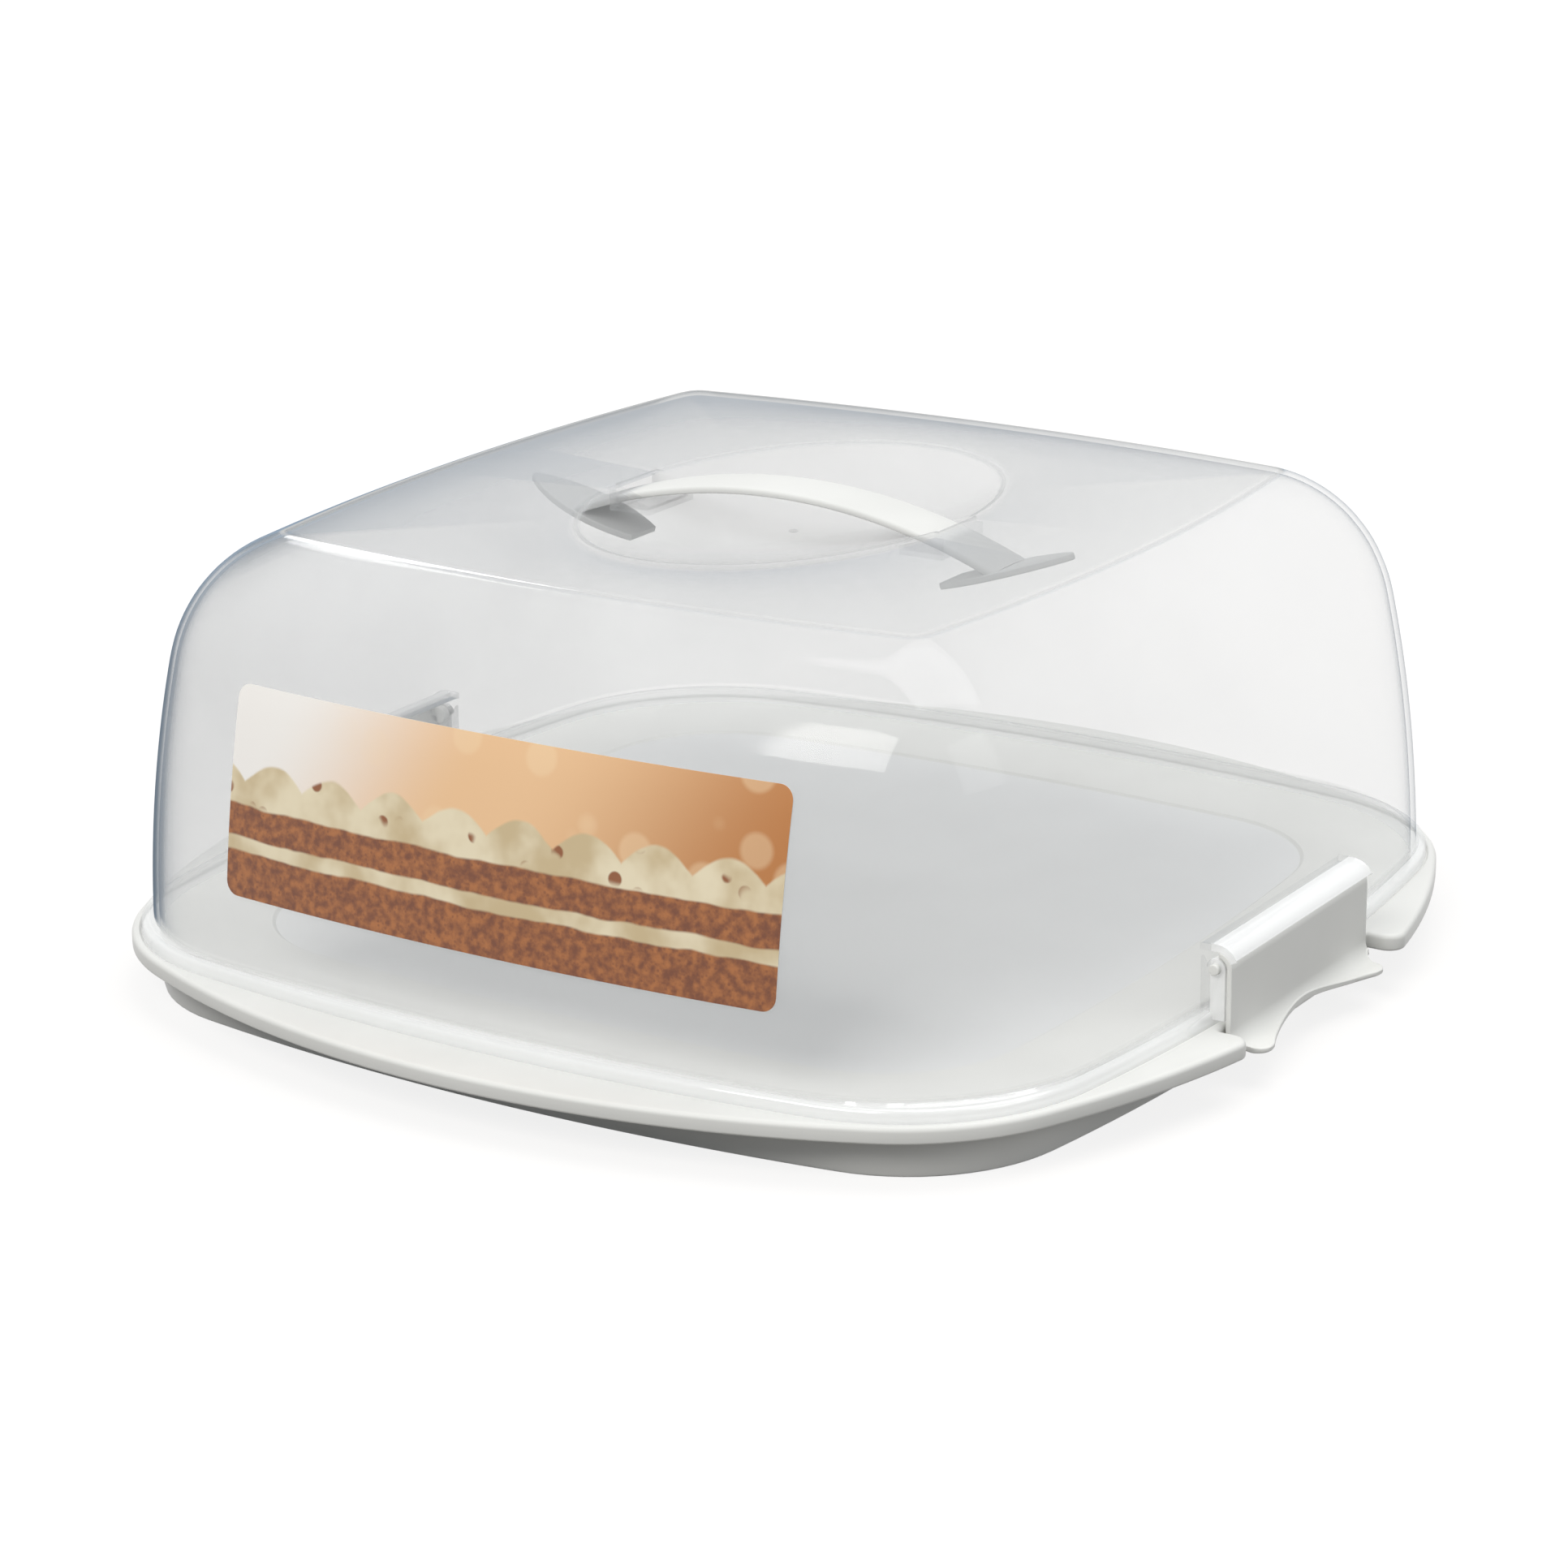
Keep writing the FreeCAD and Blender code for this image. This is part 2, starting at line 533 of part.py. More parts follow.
def build_lug():
    """The lug on the +X wall: a hood over the clip and two cheeks with holes for its pins."""
    deep = f"wall_half - {FAR}"
    hood_low = ("hood_radius", "pin_x", "pin_z", "-clip_half", "clip_half", "90 - hood_edge")
    hood_high = ("hood_radius + hood_wall", *hood_low[1:])
    hood_turn = value("hood_edge")
    hood_outer = rod("HoodOuter", *hood_high, hood_turn)
    hood_arc = cut("HoodArc", hood_outer, rod("HoodInner", *hood_low, hood_turn))
    hood_top = box("HoodTop", (deep, "-clip_half", "pin_z + hood_radius"),
                   ("pin_x", "clip_half", "pin_z + hood_radius + hood_wall"))
    pieces = [hood_arc, hood_top]
    for side, start, end in (("Front", "-clip_half", "-cheek_in"), ("Rear", "cheek_in", "clip_half")):
        web = box(f"Cheek{side}Web", (deep, start, "seat + rim_height / 2"),
                  ("pin_x + cheek_radius", end, "pin_z"))
        nose = rod(f"Cheek{side}Nose", "cheek_radius", "pin_x", "pin_z", start, end)
        pieces += [web, nose]
    lug = fuse("LugSolid", pieces)
    holes = rod("PinHoles", "pin_radius + pin_gap", "pin_x", "pin_z", "-clip_half", "clip_half")
    return cut("Lug", lug, holes)


def build_lid():
    """The lid: a thin lofted dome with a rim, a sunk handle well with two slots, and a lug on each side."""
    outer = lid_loft("Dome", "0")
    inner = lid_loft("DomeInside", "lid_wall")
    rim_sketch = bowed_sketch("RimOutline", "rim_half", "rim_bow", "rim_corner", "seat")
    rim_block = extrude("RimBlock", rim_sketch, "rim_height")
    rim = rounded("Rim", rim_block, "rim_round", lambda edge: at_level(edge, value("seat + rim_height")))
    lug = build_lug()
    blank = fuse("LidBlank", [outer, rim, lug, mirrored("LugLeft", lug)])
    shell = cut("LidShell", blank, inner)
    bowl = common("WellBowl", outer, ellipsoid("WellOuter", "lid_wall"))
    sleeve_half = "(slot_half + sleeve_wall)"
    sleeve_low = ("slot_start - sleeve_wall", f"-{sleeve_half}", "slot_floor - sleeve_wall")
    sleeve_block = box("SleeveBlock", sleeve_low, ("sleeve_reach", sleeve_half, "top_under + lid_wall / 2"))
    tunnel = box("SlotTunnel", ("slot_start", "-slot_half", "slot_floor"),
                 (f"sleeve_reach + {FAR} / 4", "slot_half", "top_under"))
    mouth = box("SlotMouth", ("slot_start", "-slot_half", "slot_floor"),
                ("well_half_x", "slot_half", f"lid_top + {FAR} / 4"))
    slot = fuse("Slot", [tunnel, mouth])
    lined = fuse("LinedLid", [shell, bowl, sleeve_block, mirrored("SleeveBlockLeft", sleeve_block)])
    hollows = fuse("LidHollows", [ellipsoid("WellInner", "0"), slot, mirrored("SlotLeft", slot)])
    return cut("Lid", lined, hollows)


def round_long_edges(strap, name, base, arc_radius, rounding):
    """Round the two long edges of the strap that lie on an arc."""
    document.recompute()
    edges = [f"Edge{number}" for number, edge in enumerate(base.Shape.Edges, start=1)
             if edge.BoundBox.YLength < 1e-4 and edge.BoundBox.XLength > value("leaf_place")
             and abs(edge.Curve.Radius - value(arc_radius)) < 1e-4]
    fillet = strap.newObject("PartDesign::Fillet", name)
    fillet.Base = (base, edges)
    bind(fillet, "Radius", rounding)
    return fillet


def build_handle():
    """The handle: a bowed strap through both slots, with an anchor leaf across each end under the top."""
    strap = document.addObject("PartDesign::Body", "Strap")
    sketch = body_sketch(strap, "StrapProfile", "XZ_Plane")
    upper = "strap_centre + sqrt(strap_radius ^ 2 - leaf_place ^ 2)"
    lower = "strap_centre + sqrt(strap_under ^ 2 - leaf_place ^ 2)"
    outline(sketch, (
        ("leaf_place", upper, ("strap_radius", 1)),
        ("-leaf_place", upper, None),
        ("-leaf_place", lower, ("strap_under", -1)),
        ("leaf_place", lower, None),
    ))
    pad = strap.newObject("PartDesign::Pad", "StrapPad")
    pad.Profile = sketch
    pad.Midplane = True
    bind(pad, "Length", "2 * strap_half")
    upper_edges = round_long_edges(strap, "StrapUpperEdges", pad, "strap_radius", "strap_top_round")
    round_long_edges(strap, "StrapLowerEdges", upper_edges, "strap_under", "strap_low_round")
    leaf = extrude("Leaf", outline(loose_sketch("LeafOutline"), (
        ("-leaf_half", "-leaf_end_half", ("leaf_side_radius", 1)),
        ("leaf_half", "-leaf_tip_half", ("leaf_tip_radius", 1)),
        ("leaf_half", "leaf_tip_half", ("leaf_side_radius", 1)),
        ("-leaf_half", "leaf_end_half", None),
    )), "leaf_depth", symmetric=True)
    tilt = FreeCAD.Rotation(FreeCAD.Vector(0, -1, 0), value("leaf_tilt"))
    leaf.Placement = FreeCAD.Placement(FreeCAD.Vector(), tilt)
    bind(leaf, "Placement.Base.x", "leaf_place")
    bind(leaf, "Placement.Base.z", "leaf_level")
    return fuse("Handle", [strap, leaf, mirrored("LeafLeft", leaf)])


def build_clip():
    """The +X clip: a plate with a curl and pins at its top, and a hook and a waved lip at its foot."""
    plate = document.addObject("PartDesign::Body", "ClipPlate")
    profile = body_sketch(plate, "ClipProfile", "XZ_Plane")
    curl_in = "(curl_radius - clip_wall)"
    outline(profile, (
        ("plate_out", "pin_z", ("curl_radius", 1)),
        ("pin_x + curl_radius * cos(curl_sweep)", "pin_z + curl_radius * sin(curl_sweep)", None),
        (f"pin_x + {curl_in} * cos(curl_sweep)", f"pin_z + {curl_in} * sin(curl_sweep)", (curl_in, -1)),
        ("plate_in", "pin_z", None),
        ("plate_in", "lip_top + lip_flare", ("(lip_flare + clip_wall)", 1)),
        ("plate_out + lip_flare", "lip_low", None),
        ("plate_out + lip_reach", "lip_low", None),
        ("plate_out + lip_reach", "lip_top", None),
        ("plate_out + lip_flare", "lip_top", ("lip_flare", -1)),
        ("plate_out", "lip_top + lip_flare", None),
    ))
    pad = plate.newObject("PartDesign::Pad", "ClipPad")
    pad.Profile = profile
    pad.Midplane = True
    bind(pad, "Length", "2 * clip_half")
    wave = body_sketch(plate, "LipWave", "XY_Plane")
    bind(wave, "AttachmentOffset.Base.z", f"lip_low - {FAR} / 4")
    beyond = f"plate_out + lip_reach + {FAR} / 4"
    outline(wave, (
        ("lobe_x", "-clip_half", ("lobe_radius", 1)),
        ("lobe_turn_x", "-lobe_turn_y", ("arch_radius", -1)),
        ("lobe_turn_x", "lobe_turn_y", ("lobe_radius", 1)),
        ("lobe_x", "clip_half", None),
        ("lobe_x", f"clip_half + {FAR} / 4", None),
        (beyond, f"clip_half + {FAR} / 4", None),
        (beyond, f"-(clip_half + {FAR} / 4)", None),
        ("lobe_x", f"-(clip_half + {FAR} / 4)", None),
    ))
    pocket = plate.newObject("PartDesign::Pocket", "LipWaveCut")
    pocket.Profile = wave
    pocket.Reversed = True
    bind(pocket, "Length", f"clip_wall + {FAR} / 2")
    hook = box("Hook", ("hook_tip", "-hook_half", "hook_top - hook_depth"),
               ("plate_out + hook_root", "hook_half", "hook_top"))
    pieces = [plate, hook]
    knuckle_out = "(cheek_in - clip_gap)"
    for side, sign in (("Front", "-1"), ("Rear", "1")):
        inner = f"{sign} * ({knuckle_out} - knuckle_width)"
        outer = f"{sign} * {knuckle_out}"
        tip = f"{sign} * (clip_half + pin_proud)"
        ends = (inner, outer) if sign == "1" else (outer, inner)
        pin_ends = (inner, tip) if sign == "1" else (tip, inner)
        arm = box(f"Knuckle{side}Arm", ("pin_x", ends[0], "pin_z - knuckle_radius"),
                  ("plate_in + clip_wall / 2", ends[1], "pin_z"))
        boss = rod(f"Knuckle{side}", "knuckle_radius", "pin_x", "pin_z", *ends)
        pin = rod(f"Pin{side}", "pin_radius", "pin_x", "pin_z", *pin_ends)
        pieces += [arm, boss, pin]
    return fuse("Clip", pieces)


def build_label():
    """The label: a thin sheet that follows the front wall."""
    sheet = cut("LabelSkin", lid_loft("LabelOutside", "-(label_gap + label_depth)"),
                lid_loft("LabelInside", "-label_gap"))
    low, high, half = "(seat + label_low)", "(seat + label_high)", "label_half"
    sketch = outline(loose_sketch("LabelOutline", UPRIGHT), (
        (f"-{half} + label_corner", low, None),
        (f"{half} - label_corner", low, ("label_corner", 1)),
        (half, f"{low} + label_corner", None),
        (half, f"{high} - label_corner", ("label_corner", 1)),
        (f"{half} - label_corner", high, None),
        (f"-{half} + label_corner", high, ("label_corner", 1)),
        (f"-{half}", f"{high} - label_corner", None),
        (f"-{half}", f"{low} + label_corner", ("label_corner", 1)),
    ))
    return common("Label", sheet, extrude("LabelBlock", sketch, f"rim_half + {FAR}"))


def check_document():
    """Stop if a feature failed to build."""
    for feature in document.Objects:
        if {"Invalid", "Error"} & set(feature.State):
            raise RuntimeError(f"{feature.Name} failed: {feature.State}")


def write(pieces):
    """Name each piece, check its solid and write its file."""
    for node, piece in pieces.items():
        piece.Label = node
    document.recompute()
    check_document()
    for node, piece in pieces.items():
        shape = piece.Shape
        if shape.isNull() or not shape.isValid() or len(shape.Solids) != 1:
            raise RuntimeError(f"{node} is not one valid solid")
    os.makedirs("parts", exist_ok=True)
    for node, piece in pieces.items():
        piece.Shape.exportStep(f"parts/{node}.step")
        room = piece.Shape.optimalBoundingBox(False)
        spans = f"{room.XLength:.1f} x {room.YLength:.1f} x {room.ZLength:.1f} mm"
        print(f"{node}: {piece.Shape.Volume / 1000:.1f} cm3, {spans}")


def main():
    """Build every piece of the cake box and write the files."""
    fill_sheet()
    derive_levels()
    derive_places()
    clip = build_clip()
    write({
        "tray": build_tray(),
        "lid": build_lid(),
        "handle": build_handle(),
        "clip_right": clip,
        "clip_left": mirrored("ClipLeft", clip),
        "label": build_label(),
    })


main()
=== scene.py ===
"""The looks of a cake box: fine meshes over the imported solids, their finishes, and a plain white studio.

Lengths are metres in the box's own frame: Z up, the label on the -Y side, the clips on the +X and -X sides
and the handle strap along X.
"""

import json
import logging
import math
from dataclasses import dataclass
from enum import Enum
from typing import Sequence

import bmesh
import bpy
from mathutils import Matrix, Vector


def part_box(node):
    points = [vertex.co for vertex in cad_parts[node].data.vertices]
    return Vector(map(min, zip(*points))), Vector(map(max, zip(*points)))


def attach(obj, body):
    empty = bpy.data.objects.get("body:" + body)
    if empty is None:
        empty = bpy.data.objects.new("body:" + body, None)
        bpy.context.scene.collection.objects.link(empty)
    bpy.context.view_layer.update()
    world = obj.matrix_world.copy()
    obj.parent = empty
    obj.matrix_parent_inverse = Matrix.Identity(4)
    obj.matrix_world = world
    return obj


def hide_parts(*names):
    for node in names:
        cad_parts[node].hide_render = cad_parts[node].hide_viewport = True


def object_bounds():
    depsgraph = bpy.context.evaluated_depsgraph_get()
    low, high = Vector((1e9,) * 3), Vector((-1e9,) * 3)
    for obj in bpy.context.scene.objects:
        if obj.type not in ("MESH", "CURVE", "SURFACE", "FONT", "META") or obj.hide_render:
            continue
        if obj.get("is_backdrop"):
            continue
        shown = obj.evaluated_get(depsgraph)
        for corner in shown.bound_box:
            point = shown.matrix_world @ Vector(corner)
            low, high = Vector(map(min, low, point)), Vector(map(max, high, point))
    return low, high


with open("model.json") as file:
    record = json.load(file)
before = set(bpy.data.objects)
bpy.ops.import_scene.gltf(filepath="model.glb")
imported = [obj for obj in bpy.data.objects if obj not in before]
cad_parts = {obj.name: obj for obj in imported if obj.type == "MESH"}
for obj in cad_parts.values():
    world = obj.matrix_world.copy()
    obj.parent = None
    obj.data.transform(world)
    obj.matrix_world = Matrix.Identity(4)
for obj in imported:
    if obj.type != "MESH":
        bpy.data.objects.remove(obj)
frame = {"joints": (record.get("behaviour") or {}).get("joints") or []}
CAD_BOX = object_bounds()

MM = 0.001
LEVEL_CLEAR = 0.01 * MM
SMOOTH_ANGLE = math.radians(32)
SQUARE = math.radians(90)
ACROSS = Vector((0, 1, 0))
UP = Vector((0, 0, 1))

Ring = list[Vector]
Colour = tuple[float, float, float]

log = logging.getLogger("cake_box")


class Combine(Enum):
    """How a tool solid changes a piece."""

    CUT = "DIFFERENCE"
    JOIN = "UNION"


def deselect_all() -> None:
    """Leave edit mode and deselect everything."""
    if bpy.context.object is not None and bpy.context.object.mode != "OBJECT":
        bpy.ops.object.mode_set(mode="OBJECT")
    bpy.ops.object.select_all(action="DESELECT")


def take(piece: bpy.types.Object) -> None:
    """Make a piece the only selected object, and the active one.

    Args:
        piece: The object that is taken up.
    """
    deselect_all()
    piece.select_set(True)
    bpy.context.view_layer.objects.active = piece


def face_outwards(piece: bpy.types.Object) -> None:
    """Turn all the faces of a piece outwards.

    Args:
        piece: The mesh that is changed.
    """
    take(piece)
    bpy.ops.object.mode_set(mode="EDIT")
    bpy.ops.mesh.select_all(action="SELECT")
    bpy.ops.mesh.normals_make_consistent(inside=False)
    bpy.ops.object.mode_set(mode="OBJECT")


def spaced(start: float, end: float, steps: int) -> list[float]:
    """Evenly spaced values from start to end, both of them included."""
    return [start + (end - start) * step / steps for step in range(steps + 1)]


def quarter_round(radius: float, steps: int) -> list[tuple[float, float]]:
    """Points of a rounded edge, as distances from where its two faces would meet.

    Args:
        radius: Radius of the edge.
        steps: Steps in the rounding.

    Returns:
        How far each point is set back on the first face and on the second, from (radius, 0) to (0, radius).
    """
    angles = spaced(0.0, SQUARE, steps)
    return [(radius * (1 - math.sin(angle)), radius * (1 - math.cos(angle))) for angle in angles]


def circle(radius: float, height: float, steps: int) -> Ring:
    """A level round ring about the Z axis."""
    angles = spaced(0.0, math.tau, steps)[:-1]
    return [Vector((radius * math.cos(angle), radius * math.sin(angle), height)) for angle in angles]


def loft(name: str, rings: Sequence[Ring]) -> bpy.types.Object:
    """Model a closed solid by extruding a filled loop through rings of points and filling the last one.

    Args:
        name: The new object's name.
        rings: Loops of equally many points, in order.

    Returns:
        The new object, with its faces pointing outwards.
    """
    count = len(rings[0])
    deselect_all()
    bpy.ops.mesh.primitive_circle_add(vertices=count, radius=1.0, fill_type="NGON")
    piece = bpy.context.object
    piece.name = name
    for vertex, place in zip(piece.data.vertices, rings[0]):
        vertex.co = place
    bpy.ops.object.mode_set(mode="EDIT")
    bpy.ops.mesh.select_all(action="SELECT")
    for ring in rings[1:]:
        bpy.ops.mesh.extrude_edges_move()
        mesh = bmesh.from_edit_mesh(piece.data)
        mesh.verts.ensure_lookup_table()
        for vertex, place in zip(mesh.verts[-count:], ring):
            vertex.co = place
    bpy.ops.mesh.edge_face_add()
    bpy.ops.mesh.select_all(action="SELECT")
    bpy.ops.mesh.normals_make_consistent(inside=False)
    bpy.ops.object.mode_set(mode="OBJECT")
    return piece


def block(name: str, low: Vector, high: Vector, rounding: float = 0.0) -> bpy.types.Object:
    """Add a block between two corners, with its edges rounded.

    Args:
        name: The new object's name.
        low: The lowest corner.
        high: The highest corner.
        rounding: Radius of the edges, or 0 for sharp ones.

    Returns:
        The new object.
    """
    deselect_all()
    bpy.ops.mesh.primitive_cube_add(size=1.0, location=(low + high) / 2, scale=high - low)
    piece = bpy.context.object
    piece.name = name
    bpy.ops.object.transform_apply(location=True, rotation=True, scale=True)
    if rounding:
        round_edges(rounding)
    return piece


def rod(name: str, radius: float, start: Vector, end: Vector, rounding: float) -> bpy.types.Object:
    """Add a round rod along Y between two points.

    Args:
        name: The new object's name.
        radius: The rod's radius.
        start: The middle of one end.
        end: The middle of the other end.
        rounding: Radius of the edges of its ends.

    Returns:
        The new object.
    """
    deselect_all()
    bpy.ops.mesh.primitive_cylinder_add(vertices=40, radius=radius, depth=(end - start).length,
                                        location=(start + end) / 2, rotation=(SQUARE, 0, 0))
    piece = bpy.context.object
    piece.name = name
    bpy.ops.object.transform_apply(location=True, rotation=True, scale=True)
    if rounding:
        round_edges(rounding)
    return piece


def round_edges(radius: float, sharper_than: float = math.radians(40)) -> None:
    """Round the sharp edges of the active object.

    Args:
        radius: Radius of the rounding.
        sharper_than: Least angle between the faces at an edge that is rounded.
    """
    bpy.ops.object.mode_set(mode="EDIT")
    bpy.ops.mesh.select_all(action="DESELECT")
    bpy.ops.mesh.select_mode(type="EDGE")
    bpy.ops.mesh.edges_select_sharp(sharpness=sharper_than)
    bpy.ops.mesh.bevel(offset=radius, segments=3, affect="EDGES", clamp_overlap=True)
    bpy.ops.object.mode_set(mode="OBJECT")


def combine(piece: bpy.types.Object, tool: bpy.types.Object, how: Combine) -> None:
    """Cut a tool from a piece or join it to the piece, and remove the tool.

    Args:
        piece: The object that is changed.
        tool: The closed solid that changes it.
        how: Whether the tool is cut away or joined.
    """
    modifier = piece.modifiers.new(how.name, "BOOLEAN")
    modifier.operation = how.value
    modifier.object = tool
    modifier.solver = "EXACT"
    take(piece)
    bpy.ops.object.modifier_apply(modifier=modifier.name)
    bpy.data.objects.remove(tool, do_unlink=True)


def join(name: str, pieces: Sequence[bpy.types.Object]) -> bpy.types.Object:
    """Join objects into one, under a name.

    Args:
        name: The joined object's name.
        pieces: The objects, the first of which is kept.

    Returns:
        The joined object.
    """
    take(pieces[0])
    for piece in pieces[1:]:
        piece.select_set(True)
    bpy.ops.object.join()
    joined = bpy.context.object
    joined.name = name
    return joined


def mirrored(name: str, piece: bpy.types.Object) -> bpy.types.Object:
    """Copy a piece, with its own mesh, to the other side of the plane X = 0.

    Args:
        name: The copy's name.
        piece: The object that is copied.

    Returns:
        The copy, with its faces pointing outwards.
    """
    take(piece)
    bpy.ops.object.duplicate()
    copy = bpy.context.object
    copy.name = name
    copy.data.transform(Matrix.Scale(-1, 4, Vector((1, 0, 0))))
    bpy.ops.object.mode_set(mode="EDIT")
    bpy.ops.mesh.select_all(action="SELECT")
    bpy.ops.mesh.flip_normals()
    bpy.ops.object.mode_set(mode="OBJECT")
    return copy


def smooth(piece: bpy.types.Object) -> None:
    """Shade a piece smooth, with its sharp edges kept."""
    take(piece)
    bpy.ops.object.shade_smooth_by_angle(angle=SMOOTH_ANGLE)


def set_in(ring: Ring, inset: float, normal: Vector) -> Ring:
    """Move a flat ring's sides inwards by the same distance.

    Args:
        ring: The loop, anticlockwise as seen against its normal.
        inset: How far its sides move.
        normal: The normal of the ring's plane.

    Returns:
        The smaller loop, with as many points.
    """
    moved = []
    for number, place in enumerate(ring):
        before = (place - ring[number - 1]).normalized()
        after = (ring[(number + 1) % len(ring)] - place).normalized()
        across = (normal.cross(before) + normal.cross(after)).normalized()
        moved.append(place + across * (inset / max(across.dot(normal.cross(after)), 0.5)))
    return moved


def pillow(ring: Ring, depth: Vector, rounding: float, steps: int = 4) -> list[Ring]:
    """Rings of a plate with rounded edges.

    Args:
        ring: The plate's outline, anticlockwise as seen against depth.
        depth: From one face of the plate to the other.
        rounding: Radius of the edges of both faces.
        steps: Steps in each rounded edge.

    Returns:
        The rings, from the first face to the other.
    """
    normal = depth.normalized()
    first, last = [], []
    for inset, rise in quarter_round(rounding, steps):
        loop = set_in(ring, inset, normal)
        first.append([place + normal * rise for place in loop])
        last.append([place + depth - normal * rise for place in loop])
    return first + last[::-1]


@dataclass(frozen=True)
class Station:
    """A point of a plan outline, with the direction that leads out of it."""

    place: Vector
    outward: Vector


def arc(centre: Vector, radius: float, start: float, end: float, steps: int,
        hollow: bool = False) -> list[Station]:
    """Stations along an arc, the last left out.

    Args:
        centre: The arc's centre.
        radius: The arc's radius.
        start: Angle of the first station.
        end: Angle of the station that is left out.
        steps: How many stations there are.
        hollow: Whether the outline is hollow here, so that out is towards the centre.

    Returns:
        The stations in order.
    """
    stations = []
    for angle in spaced(start, end, steps)[:-1]:
        ray = Vector((math.cos(angle), math.sin(angle), 0))
        stations.append(Station(centre + ray * radius, -ray if hollow else ray))
    return stations


class Outline:
    """A closed plan outline, the same in all four quarters, which can be set in or out."""

    def __init__(self, quarter: Sequence[Station]) -> None:
        """Mirror a quarter that runs from the X axis to the Y axis into a whole outline.

        Args:
            quarter: The stations of the quarter, in order.
        """
        self.stations: list[Station] = []
        for x_sign, y_sign in ((1, 1), (-1, 1), (-1, -1), (1, -1)):
            turn = Vector((x_sign, y_sign, 1))
            run = [Station(station.place * turn, station.outward * turn) for station in quarter]
            self.stations += (run if x_sign == y_sign else run[::-1])[:-1]

    def ring(self, height: float, inset: float = 0.0) -> Ring:
        """The outline as a ring at a height, moved inwards by an inset."""
        level = UP * height
        return [station.place - station.outward * inset + level for station in self.stations]


@dataclass(frozen=True)
class BowedSquare:
    """A square outline with bowed sides and round corners."""

    half: float
    bow: float
    corner: float
    side_steps: int = 20
    corner_steps: int = 14

    @property
    def side_radius(self) -> float:
        """Radius of a side."""
        return ((self.half - self.bow) ** 2 + self.bow ** 2) / (2 * self.bow)

    @property
    def back(self) -> float:
        """How far a side's centre lies past the middle of the square."""
        return self.side_radius - self.half

    @property
    def corner_place(self) -> float:
        """Where a corner's centre is, along each axis."""
        spread = self.side_radius - self.corner
        return (math.sqrt(2 * spread ** 2 - self.back ** 2) - self.back) / 2

    @property
    def swing(self) -> float:
        """Half the angle of a side."""
        return math.atan2(self.corner_place, self.corner_place + self.back)

    def corner_onward(self) -> list[Station]:
        """The stations of a quarter from its corner to the Y axis.

        Returns:
            The stations in order.
        """
        middle = Vector((self.corner_place, self.corner_place, 0))
        corner = arc(middle, self.corner, self.swing, SQUARE - self.swing, self.corner_steps)
        rear = Vector((0, -self.back, 0))
        side = arc(rear, self.side_radius, SQUARE - self.swing, SQUARE, self.side_steps)
        return corner + side + [Station(Vector((0, self.half, 0)), Vector((0, 1, 0)))]

    def outline(self) -> Outline:
        """The whole outline."""
        side = arc(Vector((-self.back, 0, 0)), self.side_radius, 0.0, self.swing, self.side_steps)
        return Outline(side + self.corner_onward())


@dataclass(frozen=True)
class Level:
    """The lid's outline at one height, with the lean of its wall there."""

    outline: BowedSquare
    height: float
    sine: float
    cosine: float

    def ring(self, inset: float) -> Ring:
        """The level as a ring, moved square to the wall by an inset."""
        return self.outline.outline().ring(self.height - inset * self.sine, inset * self.cosine)


